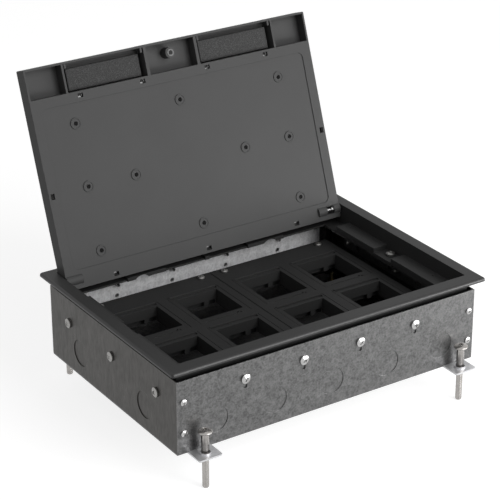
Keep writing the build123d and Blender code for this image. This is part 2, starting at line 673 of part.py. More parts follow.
def rail_screws():
    """Eight screws through the slots of the long walls."""
    screw = pan_screw(WALL_SCREW_HEAD, WALL_SCREW_HEAD_HEIGHT, WALL_SCREW_SHANK, WALL_SCREW_LENGTH)
    screws = []
    for x in wall_screw_places():
        back = Pos(x, BOX_Y, WALL_SCREW_Z) * Rot(-90, 0, 0) * screw
        screws += [back, front(back)]
    return screws


def module_places():
    """Middles of the eight module openings, back row first."""
    xs = [-MODULE_FIRST_X - MODULE_PITCH_X, -MODULE_FIRST_X, MODULE_FIRST_X, MODULE_FIRST_X + MODULE_PITCH_X]
    ys = [MODULE_MIDDLE_Y + MODULE_PITCH_Y / 2, MODULE_MIDDLE_Y - MODULE_PITCH_Y / 2]
    return [(x, y) for y in ys for x in xs]


def accessory_plate_right():
    """Moulded plate with four openings, a rim below and screw pillars."""
    x0, x1 = PLATE_GAP / 2, PLATE_X
    plate = block(x0, x1, PLATE_FRONT, PLATE_BACK, PLATE_UNDER - PLATE_RIM_DEPTH, PLATE_TOP)
    plate = fillet(plate.edges().filter_by(Axis.Z).group_by(Axis.X)[-1], PLATE_CORNER)
    plate = chamfer(plate.edges().group_by(Axis.Z)[-1], MODULE_BORDER_CHAMFER)
    plate -= block(x0 + PLATE_RIM, x1 - PLATE_RIM, PLATE_FRONT + PLATE_RIM, PLATE_BACK - PLATE_RIM,
                   PLATE_UNDER - PLATE_RIM_DEPTH - 1, PLATE_UNDER)
    half = MODULE / 2 + MODULE_WALL + PLATE_FIT
    side = MODULE / 2 + MODULE_BORDER + PLATE_FIT
    fore = MODULE / 2 + MODULE_BORDER_FRONT + PLATE_FIT
    rear = MODULE / 2 + MODULE_BORDER_BACK + PLATE_FIT
    seat = PLATE_TOP - MODULE_BORDER_THICK
    rib_low = PLATE_TOP - MODULE_DEPTH - STIFFENING_RIB_RISE
    near = half + STIFFENING_RIB_GAP
    for x, y in module_places():
        if x > 0:
            plate -= block(x - half, x + half, y - half, y + half, PLATE_UNDER - 1, PLATE_TOP + 1)
            plate -= block(x - side, x + side, y - fore, y + rear, seat, PLATE_TOP + 1)
            for low, high in ((y + near, y + near + STIFFENING_RIB), (y - near - STIFFENING_RIB, y - near)):
                plate += block(x - half, x + half, low, high, rib_low, PLATE_UNDER)
    for x, y in plate_screw_places():
        plate += rod_z(x, y, PILLAR_RADIUS, RAIL_SHELF_TOP, PLATE_UNDER + 0.5)
        plate -= rod_z(x, y, PLATE_SCREW_SHANK, RAIL_SHELF_TOP - 1, PLATE_TOP + 1)
    return plate


def plate_screws():
    """Eight screws at the corners of the plates."""
    length = PLATE_TOP - RAIL_SHELF_TOP + 3 * STEEL
    screw = pan_screw(PLATE_SCREW_HEAD, PLATE_SCREW_HEAD_HEIGHT, PLATE_SCREW_SHANK, length)
    right = [Pos(x, y, PLATE_TOP) * screw for x, y in plate_screw_places()]
    return right + [left(one) for one in right]


def module_frame():
    """Insert for one 45 mm module: sunk border with a lip behind, walls with windows, and clips."""
    half = MODULE / 2
    outer = half + MODULE_WALL
    side = half + MODULE_BORDER
    fore = half + MODULE_BORDER_FRONT
    rear = half + MODULE_BORDER_BACK
    seat = PLATE_TOP - MODULE_BORDER_THICK
    low = PLATE_TOP - MODULE_DEPTH
    border = block(-side, side, -fore, rear, seat, PLATE_TOP)
    border = chamfer(border.edges().group_by(Axis.Z)[-1], MODULE_BORDER_CHAMFER)
    lip_end = side - LIP_END_ROOM
    lip = block(-lip_end, lip_end, rear - LIP_THICK, rear, PLATE_TOP - 0.5, PLATE_TOP + LIP_HEIGHT)
    border += chamfer(lip.edges().filter_by(Axis.X).group_by(Axis.Z)[-1], MODULE_BORDER_CHAMFER)
    trough = rear - LIP_THICK
    trough_low = PLATE_TOP - LIP_GROOVE_DEPTH
    border -= block(-lip_end, lip_end, trough - LIP_GROOVE, trough, trough_low, PLATE_TOP + 2)
    border -= block(lip_end - LIP_END_ROOM, lip_end, trough - LIP_END_ROOM, trough, seat - 1, PLATE_TOP + 2)
    groove_y = GROOVE_INSET - fore
    border -= block(GROOVE_FROM, GROOVE_TO, groove_y - GROOVE_WIDTH / 2, groove_y + GROOVE_WIDTH / 2,
                    PLATE_TOP - GROOVE_DEPTH, PLATE_TOP + 1)
    for x, y in ((GROOVE_TO, groove_y + LEVER_HOLE_DEPTH / 2), (GROOVE_TO + LEVER_HOLE_PITCH, groove_y)):
        border -= block(x, x + LEVER_HOLE, y - GROOVE_WIDTH / 2, y - GROOVE_WIDTH / 2 + LEVER_HOLE_DEPTH,
                        seat - 1, PLATE_TOP + 1)
    border -= rod_z(PEEP_HOLE_X, groove_y + PEEP_HOLE, PEEP_HOLE / 2, seat - 1, PLATE_TOP + 1)
    piece = border + block(-outer, outer, -outer, outer, low, PLATE_TOP - 0.5)
    piece -= block(-half, half, -half, half, low - 1, PLATE_TOP + 1)
    corner = WINDOW_MIDDLE / 2 + WINDOW_RIB
    for turn in (0, 180):
        for x0, x1 in ((-half, -corner), (-WINDOW_MIDDLE / 2, WINDOW_MIDDLE / 2), (corner, half)):
            piece -= Rot(0, 0, turn) * block(x0, x1, half - 1, outer + 1, low - 1, low + WINDOW_HEIGHT)
    for turn in (90, -90):
        for x in (-half / 2, half / 2):
            piece += Rot(0, 0, turn) * Pos(x, outer, 0) * clip_nib()
    return piece


def clip_nib():
    """A wedge that snaps under the plate, pointing to +Y from y = 0."""
    high = PLATE_UNDER - 0.05
    outline = Polyline((-0.5, high), (CLIP_REACH, high), (0, high - CLIP_HEIGHT), (-0.5, high - CLIP_HEIGHT),
                       close=True)
    return extrude(Plane.YZ * make_face(outline), amount=CLIP_LENGTH / 2, both=True)


def earth_stud():
    """Threaded stud welded to the floor of the box."""
    stud = rod_z(EARTH_X, EARTH_Y, EARTH_RADIUS, SHEET, SHEET + EARTH_HEIGHT)
    return chamfer(stud.edges().group_by(Axis.Z)[-1], EARTH_RADIUS * 0.25)


def earth_nut():
    """Washer and hexagon nut on the earth stud, as two solids."""
    low = SHEET + 1.0
    washer = rod_z(EARTH_X, EARTH_Y, EARTH_WASHER_RADIUS, low, low + EARTH_WASHER_THICK)
    base = rod_z(EARTH_X, EARTH_Y, EARTH_RADIUS * 1.8, SHEET, low)
    nut_low = low + EARTH_WASHER_THICK
    hexagon = RegularPolygon(EARTH_NUT_FLATS / 2, 6, major_radius=False)
    nut = Pos(EARTH_X, EARTH_Y, nut_low) * extrude(hexagon, amount=EARTH_NUT_HEIGHT)
    bore = rod_z(EARTH_X, EARTH_Y, EARTH_RADIUS, 0, nut_low + 2 * EARTH_NUT_HEIGHT)
    return [base - bore, washer - bore, nut - bore]


def lid_block(x0, x1, v0, v1, z0, z1):
    """A box in the closed lid, v measured from the hinge edge to the front."""
    return block(x0, x1, LID_BACK - v1, LID_BACK - v0, z0, z1)


def opened(shape):
    """Swings a piece of the closed lid to its open stop."""
    return shape.rotate(HINGE_AXIS, -LID_OPEN_ANGLE).translate((0, 0, LID_LIFT))


def boss_places():
    """Screw bosses of the lid, as (x, v)."""
    low, middle, high = BOSS_ROWS
    outer = [(x * BOSS_OUTER_X, v) for v in BOSS_ROWS for x in (-1, 1)]
    return outer + [(-BOSS_MIDDLE_X, middle), (BOSS_MIDDLE_X, middle), (0, low), (0, high)]


def lid_pockets():
    """Everything cut from the underside of the front strip."""
    top = FLANGE_TOP - STRIP_SKIN
    end = LID_LENGTH - STRIP_FRONT_WALL
    low = LID_UNDER - 1
    centre = lid_block(-CENTRE_POCKET, CENTRE_POCKET, STRIP_INNER, end, low, top)
    boss_end = LID_UNDER + LOCK_BOSS_END
    cuts = [centre - rod_z(0, LID_BACK - LOCK_V, LOCK_BOSS, boss_end, top + 1)]
    for side in (-1, 1):
        x0, x1 = sorted((side * CORNER_POCKET_FROM, side * (LID_X - STRIP_FRONT_WALL)))
        cuts.append(lid_block(x0, x1, STRIP_INNER, end, low, top))
        x0, x1 = sorted((side * OUTLET_FROM, side * OUTLET_TO))
        cuts.append(lid_block(x0, x1, STRIP_INNER, end, low, top))
        x0, x1 = sorted((side * (FLAP_FROM - FLAP_GAP), side * (FLAP_TO + FLAP_GAP)))
        skin_edge = FLAP_HINGE_V - FLAP_REAR - FLAP_GAP
        cuts.append(lid_block(x0, x1, skin_edge, end + 0.1, top - 1, FLANGE_TOP + 1))
        lip_bottom = FLANGE_TOP - FLAP_LIP_DROP - FLAP_GAP
        cuts.append(lid_block(x0, x1, end - 1, LID_LENGTH + 1, lip_bottom, FLANGE_TOP + 1))
    return cuts


def outlet_stops():
    """Small stops behind the front wall at both ends of each outlet."""
    end = LID_LENGTH - STRIP_FRONT_WALL
    stops = []
    for side in (-1, 1):
        for x0 in (OUTLET_FROM + OUTLET_STOP_GAP, OUTLET_TO - OUTLET_STOP_GAP - OUTLET_STOP):
            near, far = sorted((side * x0, side * (x0 + OUTLET_STOP)))
            stops.append(lid_block(near, far, end - OUTLET_STOP_DEPTH, end + 0.1, LID_UNDER + 0.5,
                                   LID_UNDER + OUTLET_STOP_HEIGHT))
    return stops


def trunnion_bosses():
    """Round bearings for the flap pins on the walls of the outlet pockets."""
    y = LID_BACK - FLAP_HINGE_V
    bosses = []
    for side in (-1, 1):
        for wall, pocket in ((CENTRE_POCKET, OUTLET_FROM), (CORNER_POCKET_FROM, OUTLET_TO)):
            x0, x1 = sorted((side * wall, side * pocket))
            bosses.append(rod_x(y, FLAP_HINGE_Z, TRUNNION_BOSS, x0, x1) &
                          lid_block(x0, x1, STRIP_FROM, LID_LENGTH, LID_UNDER, FLANGE_TOP))
    return bosses


def trunnion_holes():
    """Blind holes for the flap pins."""
    y = LID_BACK - FLAP_HINGE_V
    reach = TRUNNION_REACH + FLAP_GAP
    holes = []
    for side in (-1, 1):
        for x in (FLAP_FROM - reach, FLAP_TO):
            x0, x1 = sorted((side * x, side * (x + reach)))
            holes.append(rod_x(y, FLAP_HINGE_Z, TRUNNION_RADIUS + TRUNNION_FIT, x0, x1))
    return holes


def hinge_barrels():
    """Both hinge barrels below the hinge edge of the closed lid."""
    right = rod_x(HINGE_Y, HINGE_Z, BARREL_RADIUS, BARREL_INNER_RIGHT, LID_X)
    other = rod_x(HINGE_Y, HINGE_Z, BARREL_RADIUS, -LID_X, -BARREL_INNER_LEFT)
    return [right, other]


def lid_shell():
    """Moulded lid: an open tray for the floor covering and a closed front strip."""
    shell = lid_block(-LID_X, LID_X, 0, LID_LENGTH, LID_UNDER, FLANGE_TOP)
    back_top = shell.edges().filter_by(Axis.X).group_by(Axis.Z)[-1].sort_by(Axis.Y)[-1]
    shell = chamfer(back_top, LID_BACK_CHAMFER)
    shell = fillet(shell.edges().filter_by(Axis.Z), LID_CORNER)
    floor = LID_UNDER + LID_FLOOR
    tray_x = LID_X - LID_RIM
    shell -= lid_block(-tray_x, tray_x, LID_RIM, STRIP_FROM, floor, FLANGE_TOP + 1)
    panel = lid_block(-PANEL_HALF, PANEL_HALF, PANEL_FROM, PANEL_TO, LID_UNDER - 1, LID_UNDER + PANEL_DEPTH)
    shell -= fillet(panel.edges().filter_by(Axis.Z), PANEL_CORNER)
    for x, v in boss_places():
        y = LID_BACK - v
        shell += rod_z(x, y, BOSS_RADIUS, LID_UNDER, LID_UNDER + LID_FLOOR)
        shell -= rod_z(x, y, BOSS_RADIUS - BOSS_STEP, LID_UNDER - 1, LID_UNDER + BOSS_STEP * 0.4)
        shell -= rod_z(x, y, BOSS_HOLE, LID_UNDER - 1, floor + 1)
    for cut in lid_pockets():
        shell -= cut
    for piece in trunnion_bosses() + outlet_stops():
        shell += piece
    for hole in trunnion_holes():
        shell -= hole
    for x, v, along, across in snap_slots():
        shell -= lid_block(x - along, x + along, v - across, v + across, LID_UNDER - 1, floor + 0.01)
    for barrel in hinge_barrels():
        shell += barrel
    return cut_lock_bore(cut_hinge_bores(shell))


def snap_slots():
    """Small slots for the clips of the covering, as (x, v, half length, half width)."""
    half, thin = SNAP_LENGTH / 2, SNAP_WIDTH / 2
    slots = [(x, SNAP_FRONT_V, half, thin)
             for x in (-SNAP_ROW_X, -SNAP_MIDDLE_X, SNAP_MIDDLE_X, SNAP_ROW_X)]
    slots += [(x, SNAP_HINGE_V, half, thin) for x in (-SNAP_ROW_X, 0, SNAP_ROW_X)]
    slots += [(x, SNAP_SIDE_V, thin, half) for x in (-SNAP_SIDE_X, SNAP_SIDE_X)]
    return slots


def cut_hinge_bores(shell):
    """Bores for both pins, and the finger slot of the sprung one."""
    bore = PIN_RADIUS + PIN_FIT
    y, z = HINGE_Y, HINGE_Z
    shell -= rod_x(y, z, bore, BARREL_INNER_RIGHT + PIN_BORE_END, LID_X + 1)
    shell -= rod_x(y, z, bore, -LID_X - 1, -BARREL_INNER_LEFT - PIN_BORE_END)
    low = z - BARREL_RADIUS - 1
    room = PIN_COLLAR + SPRING_ROOM
    shell -= block(BARREL_SLOT_IN, BARREL_SLOT_OUT, y - room, y + room, low, z)
    shell -= rod_x(y, z, room, BARREL_SLOT_IN, BARREL_SLOT_OUT)
    return shell


def cut_lock_bore(shell):
    """Stepped bore of the lock barrel."""
    y = LID_BACK - LOCK_V
    shell -= rod_z(0, y, LOCK_BARREL + LOCK_FIT, LID_UNDER, FLANGE_TOP + 1)
    shell -= rod_z(0, y, LOCK_HEAD + LOCK_FIT, FLANGE_TOP - LOCK_HEAD_DEPTH, FLANGE_TOP + 1)
    return shell


def lid_stiffener():
    """Steel plate that makes the lid carry a foot."""
    low = LID_UNDER + LID_FLOOR
    high = low + STIFFENER_THICK
    half = LID_X - LID_RIM - STIFFENER_SIDE_GAP
    plate = lid_block(-half, half, STIFFENER_FROM, STIFFENER_TO, low, high)
    plate = fillet(plate.edges().filter_by(Axis.Z), STIFFENER_CORNER)
    clear_v = HINGE_FROM_EDGE + BARREL_RADIUS + LID_SIDE_GAP
    plate -= lid_block(-half - 1, -BARREL_INNER_LEFT + LID_SIDE_GAP, 0, clear_v, low - 1, high + 1)
    plate -= lid_block(BARREL_INNER_RIGHT - LID_SIDE_GAP, half + 1, 0, clear_v, low - 1, high + 1)
    for x, v in boss_places():
        plate -= lid_screw_form(x, LID_BACK - v)
    return plate


def lid_screw_form(x, y):
    """Countersunk screw of the stiffener, its flat head flush with the plate."""
    high = LID_UNDER + LID_FLOOR + STIFFENER_THICK
    cone = Pos(x, y, high - STIFFENER_THICK / 2) * Cone(LID_SCREW_SHANK, LID_SCREW_HEAD, STIFFENER_THICK)
    return cone + rod_z(x, y, LID_SCREW_SHANK, high - LID_SCREW_LENGTH, high - STIFFENER_THICK * 0.9)


def lid_plate_screws():
    """Ten countersunk screws with a cross recess."""
    high = LID_UNDER + LID_FLOOR + STIFFENER_THICK
    arm, thin = LID_SCREW_HEAD * 0.55, LID_SCREW_HEAD * 0.12
    screws = []
    for x, v in boss_places():
        y = LID_BACK - v
        screw = lid_screw_form(x, y)
        screw -= block(x - arm, x + arm, y - thin, y + thin, high - 0.8, high + 1)
        screw -= block(x - thin, x + thin, y - arm, y + arm, high - 0.8, high + 1)
        screws.append(screw)
    return screws


def lock_barrel():
    """Lock barrel with a coin slot above and a screwdriver slot below."""
    y = LID_BACK - LOCK_V
    low = LID_UNDER + LOCK_BOSS_END - LOCK_WASHER_THICK - 0.4
    head_low = FLANGE_TOP - LOCK_HEAD_DEPTH
    barrel = rod_z(0, y, LOCK_BARREL, low, head_low + 0.1)
    barrel += rod_z(0, y, LOCK_HEAD, head_low, FLANGE_TOP - 0.2)
    thin = LOCK_SLOT / 2
    barrel -= block(-LOCK_HEAD * 0.75, LOCK_HEAD * 0.75, y - thin, y + thin,
                    FLANGE_TOP - 0.2 - LOCK_SLOT_DEPTH, FLANGE_TOP + 1)
    barrel -= block(-LOCK_BARREL - 1, LOCK_BARREL + 1, y - thin / 2, y + thin / 2, low - 1, low + 0.35)
    return barrel


def lock_washer():
    """Retaining ring pressed on the lower end of the barrel."""
    y = LID_BACK - LOCK_V
    high = LID_UNDER + LOCK_BOSS_END
    low = high - LOCK_WASHER_THICK
    return rod_z(0, y, LOCK_WASHER, low, high) - rod_z(0, y, LOCK_BARREL, low - 1, high + 1)


def cable_flap_right():
    """Flap over the right cable outlet, with its front lip and two trunnions."""
    y = LID_BACK - FLAP_HINGE_V
    end = LID_LENGTH - 0.1
    plate = lid_block(FLAP_FROM, FLAP_TO, FLAP_HINGE_V, end, FLANGE_TOP - FLAP_THICK, FLANGE_TOP)
    lip = lid_block(FLAP_FROM, FLAP_TO, end - FLAP_LIP, end, FLANGE_TOP - FLAP_LIP_DROP, FLANGE_TOP)
    knuckle = rod_x(y, FLAP_HINGE_Z, FLAP_REAR, FLAP_FROM, FLAP_TO)
    flap = plate + lip + knuckle
    flap += rod_x(y, FLAP_HINGE_Z, TRUNNION_RADIUS, FLAP_FROM - TRUNNION_REACH, FLAP_FROM + 1)
    flap += rod_x(y, FLAP_HINGE_Z, TRUNNION_RADIUS, FLAP_TO - 1, FLAP_TO + TRUNNION_REACH)
    return flap


def cable_seal_right():
    """Foam pad under the flap that presses on the cables."""
    high = FLANGE_TOP - FLAP_THICK
    v0 = STRIP_INNER + SEAL_REAR
    x0, x1 = FLAP_FROM + SEAL_INSET, FLAP_TO - SEAL_INSET
    pad = lid_block(x0, x1, v0, v0 + SEAL_LENGTH, high - SEAL_THICK, high)
    return fillet(pad.edges().filter_by(Axis.Z), 1.0)


def hinge_pin_left():
    """Plain pin between the left barrel and the slot of the frame."""
    pin = rod_x(HINGE_Y, HINGE_Z, PIN_RADIUS, -LID_X - PIN_REACH, -BARREL_INNER_LEFT - PIN_BORE_END - 0.5)
    return chamfer(pin.edges().group_by(Axis.X)[0], 0.5).translate((0, 0, LID_LIFT))


def hinge_pin_right():
    """Sprung pin with a collar for a fingertip, pushed out into the frame."""
    collar_out = BARREL_SLOT_OUT - 0.1
    inner = BARREL_INNER_RIGHT + PIN_BORE_END + PIN_TRAVEL + SPRING_ROOM * 8
    pin = rod_x(HINGE_Y, HINGE_Z, PIN_RADIUS, inner, LID_X + PIN_REACH)
    pin = chamfer(pin.edges().group_by(Axis.X)[-1], 0.5)
    return pin + rod_x(HINGE_Y, HINGE_Z, PIN_COLLAR, collar_out - PIN_COLLAR_WIDTH, collar_out)


def hinge_pin_spring():
    """Small compression spring behind the sprung pin."""
    start = BARREL_INNER_RIGHT + PIN_BORE_END
    end = BARREL_INNER_RIGHT + PIN_BORE_END + PIN_TRAVEL + SPRING_ROOM * 8
    radius = PIN_RADIUS - SPRING_WIRE - SPRING_ROOM / 2
    height = end - start - 2 * SPRING_WIRE
    path = Helix(pitch=height / SPRING_TURNS, height=height, radius=radius)
    wire = Plane(origin=path @ 0, z_dir=path % 0) * Circle(SPRING_WIRE)
    coil = sweep(wire, path=path, is_frenet=True)
    return Pos(start + SPRING_WIRE, HINGE_Y, HINGE_Z) * Rot(0, 90, 0) * coil


def save_box():
    """The galvanised box with its lugs, screws and earth stud."""
    save("box_tray", box_tray())
    panel = end_panel_right()
    save("end_panel_right", panel)
    save("end_panel_left", left(panel))
    save("corner_screws", *corner_screws())
    lug = levelling_lug()
    save("levelling_lugs", lug, left(lug), front(lug), left(front(lug)))
    screw = levelling_screw()
    save("levelling_screw_back_right", screw)
    save("levelling_screw_back_left", left(screw))
    save("levelling_screw_front_right", front(screw))
    save("levelling_screw_front_left", left(front(screw)))
    save("earth_stud", earth_stud())
    save("earth_nuts", *earth_nut())


def save_inside():
    """The frame and everything that it and the plates stand on."""
    save("trim_frame", trim_frame())
    save("frame_fixing_screws", *frame_fixing_screws())
    bracket = side_bracket_right()
    save("side_bracket_right", bracket)
    save("side_bracket_left", left(bracket))
    save("side_bracket_screws", *side_bracket_screws())
    rail = mounting_rail_back()
    save("mounting_rail_back", drill_rail(rail, 1))
    save("mounting_rail_front", drill_rail(front(rail), -1))
    save("rail_screws", *rail_screws())
    plate = accessory_plate_right()
    save("accessory_plate_right", plate)
    save("accessory_plate_left", left(plate))
    save("plate_screws", *plate_screws())
    insert = module_frame()
    for number, (x, y) in enumerate(module_places(), start=1):
        save(f"module_frame_{number}", Pos(x, y, 0) * insert)


def save_lid():
    """The lid and all that swings with it."""
    save("lid_shell", opened(lid_shell()))
    save("lid_stiffener_plate", opened(lid_stiffener()))
    save("lid_plate_screws", *[opened(screw) for screw in lid_plate_screws()])
    save("lid_lock_barrel", opened(lock_barrel()))
    save("lid_lock_washer", opened(lock_washer()))
    flap = opened(cable_flap_right())
    save("cable_flap_right", flap)
    save("cable_flap_left", left(flap))
    seal = opened(cable_seal_right())
    save("cable_seal_right", seal)
    save("cable_seal_left", left(seal))
    save("hinge_pin_left", hinge_pin_left())
    save("hinge_pin_right", opened(hinge_pin_right()))
    save("hinge_pin_spring", opened(hinge_pin_spring()))


os.makedirs("parts", exist_ok=True)
save_box()
save_inside()
save_lid()
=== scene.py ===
# %% [markdown]
# # A floor socket box with its lid open
# The real product is a galvanised sheet box that is let into a raised floor. A moulded frame covers the
# edge of the cut-out, two moulded plates hold eight snap-in module frames, and a hinged tray lid closes
# it all. The sizes and places of every piece come from the loaded frame. This script gives the pieces
# their finishes, builds the ones that need a finer mesh, and sets up a plain studio.

# %% Load the frame
import json
import math
import random
import bmesh
import bpy
from mathutils import Matrix, Vector, noise


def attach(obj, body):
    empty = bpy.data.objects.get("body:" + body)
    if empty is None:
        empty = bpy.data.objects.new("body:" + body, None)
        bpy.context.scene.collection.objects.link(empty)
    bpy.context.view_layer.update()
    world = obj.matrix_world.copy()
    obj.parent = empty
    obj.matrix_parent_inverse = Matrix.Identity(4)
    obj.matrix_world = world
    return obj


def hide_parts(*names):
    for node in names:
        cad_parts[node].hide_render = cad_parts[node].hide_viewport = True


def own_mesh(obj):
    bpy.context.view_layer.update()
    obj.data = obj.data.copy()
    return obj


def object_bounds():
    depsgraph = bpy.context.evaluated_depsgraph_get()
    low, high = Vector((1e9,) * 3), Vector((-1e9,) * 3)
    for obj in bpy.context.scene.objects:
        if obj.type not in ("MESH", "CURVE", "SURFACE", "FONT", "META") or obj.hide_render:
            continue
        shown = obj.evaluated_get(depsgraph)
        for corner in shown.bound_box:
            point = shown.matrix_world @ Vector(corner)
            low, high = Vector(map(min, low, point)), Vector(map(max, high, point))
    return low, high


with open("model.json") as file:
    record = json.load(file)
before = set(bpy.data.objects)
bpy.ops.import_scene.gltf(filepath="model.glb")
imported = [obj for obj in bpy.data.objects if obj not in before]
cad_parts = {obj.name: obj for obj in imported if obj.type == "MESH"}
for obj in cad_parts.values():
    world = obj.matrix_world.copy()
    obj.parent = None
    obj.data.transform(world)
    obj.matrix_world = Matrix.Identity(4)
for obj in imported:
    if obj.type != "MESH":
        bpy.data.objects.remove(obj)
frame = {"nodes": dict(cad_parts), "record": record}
nodes = frame["nodes"]
MM = 0.001
cad_low, cad_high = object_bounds()
print("pieces loaded:", len(nodes), "overall size in mm:", [round(s / MM, 1) for s in cad_high - cad_low])

# %% [markdown]
# ## The camera
# The picture was taken with a long lens from the front left, a little above the box. A long lens keeps
# the edges of the box nearly parallel. The camera stands where the photographer stood and is turned by
# three angles: to the side, downwards, and a trace of tilt.

# %% Camera
SENSOR_WIDTH = 36.0
LENS = 140.17
NEAREST, FARTHEST = 0.05, 50.0
CAMERA_PLACE = Vector((-0.87796, -1.31483, 0.84715))
TURN_RIGHT = math.radians(33.35)
LOOK_DOWN = math.radians(25.08)
TILT = math.radians(-0.12)


def place_camera():
    """Make the camera and turn it to the photograph's angle."""
    lens = bpy.data.cameras.new("camera")
    lens.sensor_width = SENSOR_WIDTH
    lens.lens = LENS
    lens.clip_start, lens.clip_end = NEAREST, FARTHEST
    camera = bpy.data.objects.new("camera", lens)
    bpy.context.scene.collection.objects.link(camera)
    aside = Matrix.Rotation(-TURN_RIGHT, 4, "Z")
    down = Matrix.Rotation(math.pi / 2 - LOOK_DOWN, 4, "X")
    camera.matrix_world = Matrix.Translation(CAMERA_PLACE) @ (aside @ down) @ Matrix.Rotation(TILT, 4, "Z")
    bpy.context.scene.camera = camera


place_camera()
print("camera distance to the box in m:", round(CAMERA_PLACE.length, 3))

# %% [markdown]
# ## Small helpers
# Colours are easiest to read as sRGB hex values, but the renderer mixes light in linear values, so one
# function turns the first into the second. A second function adds a node to a material, sets its values
# and connects what feeds it, which keeps each finish below short.

# %% Colours and nodes


def linear(hex_colour):
    """Turn an sRGB hex colour such as #808080 into linear RGBA."""
    channels = [int(hex_colour[i:i + 2], 16) / 255 for i in (1, 3, 5)]
    return [c / 12.92 if c <= 0.04045 else ((c + 0.055) / 1.055) ** 2.4 for c in channels] + [1.0]


def add(tree, kind, settings=None, values=None, links=None):
    """Add one node, with its settings, the values of its sockets and the sockets that feed it."""
    node = tree.nodes.new(kind)
    for name, value in (settings or {}).items():
        setattr(node, name, value)
    for name, value in (values or {}).items():
        node.inputs[name].default_value = value
    for name, source in (links or {}).items():
        tree.links.new(source, node.inputs[name])
    return node


def new_material(name):
    """Make an empty material and return it with its node tree and its output."""
    material = bpy.data.materials.new(name)
    material.use_nodes = True
    tree = material.node_tree
    tree.nodes.clear()
    return material, tree, tree.nodes.new("ShaderNodeOutputMaterial")


print("mid grey #808080 in linear:", round(linear("#808080")[0], 3))

# %% [markdown]
# ## Studio: white surroundings, pale floor and soft lamps
# The photograph has a pure white background. A stronger lamp would wash out the dark plastic, so the
# white is shown only to what the camera, a reflection or a glass sees, while the light that falls on the
# box stays soft. The floor is pale and keeps the shadow of the box.

# %% White surroundings
WHITE = "#ffffff"
AMBIENT = 0.32


def seen_directly(tree):
    """1 for rays from the camera, in reflections and through glass, 0 for diffuse light."""
    path = add(tree, "ShaderNodeLightPath")
    either = add(tree, "ShaderNodeMath", {"operation": "MAXIMUM"},
                 links={0: path.outputs["Is Camera Ray"], 1: path.outputs["Is Glossy Ray"]})
    return add(tree, "ShaderNodeMath", {"operation": "MAXIMUM"},
               links={0: either.outputs[0], 1: path.outputs["Is Transmission Ray"]}).outputs[0]


def white_surroundings():
    """White to the camera and in reflections, a softer grey as light."""
    world = bpy.data.worlds.new("studio")
    bpy.context.scene.world = world
    world.use_nodes = True
    tree = world.node_tree
    tree.nodes.clear()
    light = add(tree, "ShaderNodeBackground", values={"Color": linear(WHITE), "Strength": AMBIENT})
    white = add(tree, "ShaderNodeBackground", values={"Color": linear(WHITE), "Strength": 1.0})
    mix = add(tree, "ShaderNodeMixShader",
              links={0: seen_directly(tree), 1: light.outputs[0], 2: white.outputs[0]})
    add(tree, "ShaderNodeOutputWorld", links={"Surface": mix.outputs[0]})


white_surroundings()
bpy.context.scene.view_settings.view_transform = "Standard"
print("ambient light:", AMBIENT)

# %% Pale floor
FLOOR_HALF = 6.0
FLOOR_COLOUR = "#b0b0b0"
FLOOR_LIFT = 0.79


def pale_floor():
    """A flat floor under the feet of the levelling screws, lifted to white only where it is seen."""
    mesh = bpy.data.meshes.new("floor")
    corners = [(-FLOOR_HALF, -FLOOR_HALF, 0), (FLOOR_HALF, -FLOOR_HALF, 0),
               (FLOOR_HALF, FLOOR_HALF, 0), (-FLOOR_HALF, FLOOR_HALF, 0)]
    mesh.from_pydata(corners, [], [(0, 1, 2, 3)])
    floor = bpy.data.objects.new("floor", mesh)
    floor.location.z = cad_low.z
    bpy.context.scene.collection.objects.link(floor)
    material, tree, output = new_material("pale_floor_paint")
    paint = add(tree, "ShaderNodeBsdfDiffuse", values={"Color": linear(FLOOR_COLOUR)})
    dark, lift = [add(tree, "ShaderNodeEmission", values={"Color": linear(WHITE), "Strength": strength})
                  for strength in (0.0, FLOOR_LIFT)]
    seen = add(tree, "ShaderNodeMixShader",
               links={0: seen_directly(tree), 1: dark.outputs[0], 2: lift.outputs[0]})
    both = add(tree, "ShaderNodeAddShader", links={0: paint.outputs[0], 1: seen.outputs[0]})
    tree.links.new(both.outputs[0], output.inputs["Surface"])
    mesh.materials.append(material)
    return floor


floor = pale_floor()
print("floor height in mm:", round(floor.location.z / MM, 1))

# %% [markdown]
# ## Soft lamps
# The key lamp is large, stands high in front and fills the lid. The low one reaches the front wall under
# the flange. The small one stands close to the right-hand end, so the front sheet shines a little more
# at that end, as in the picture. A bigger lamp gives a softer shadow.

# %% Soft lamps
AIM = Vector((0.0, 0.0, 0.08))
# Name: place in metres, length of a side in metres, power in watts.
LAMPS = {
    "key": ((0.9, -2.6, 1.9), 2.0, 60.0),
    "low": ((0.42, -1.2, 0.15), 0.45, 6.0),
    "side": ((0.5, -0.42, 0.02), 0.35, 4.0),
}


def soft_lamp(name, place, size, power):
    """A square lamp with a soft edge, turned towards the box."""
    data = bpy.data.lights.new(name, "AREA")
    data.size = size
    data.energy = power
    lamp = bpy.data.objects.new(name, data)
    lamp.location = place
    lamp.rotation_euler = (AIM - Vector(place)).to_track_quat("-Z", "Y").to_euler()
    lamp.visible_camera = False
    bpy.context.scene.collection.objects.link(lamp)


for lamp_name, (place, size, power) in LAMPS.items():
    soft_lamp(lamp_name, place, size, power)
print("lamps:", ", ".join(LAMPS))

# %% [markdown]
# ## Moulded plastics
# The lid, the trim frame and the plates are injection moulded in a dark ABS blend. The mould is spark
# eroded, so the skin has a fine satin grain that scatters the light, and no real edge is sharp. The
# grain is only a few hundredths of a millimetre deep. It is drawn about 0.8 mm wide, coarser than the
# real one, so that it shows. The three differ in colour and shine, so one function makes them all.
#
# The trim frame has two places of its own. The outermost rim of its flange is smoother than the rest,
# as if rubbed by use, so that it catches a line of light. The skirt under the flange lies in a deep
# narrow shadow, and that shade is painted on it as a near black colour.

# %% Shares of a flat frame
EDGE_ROUND = 0.35 * MM
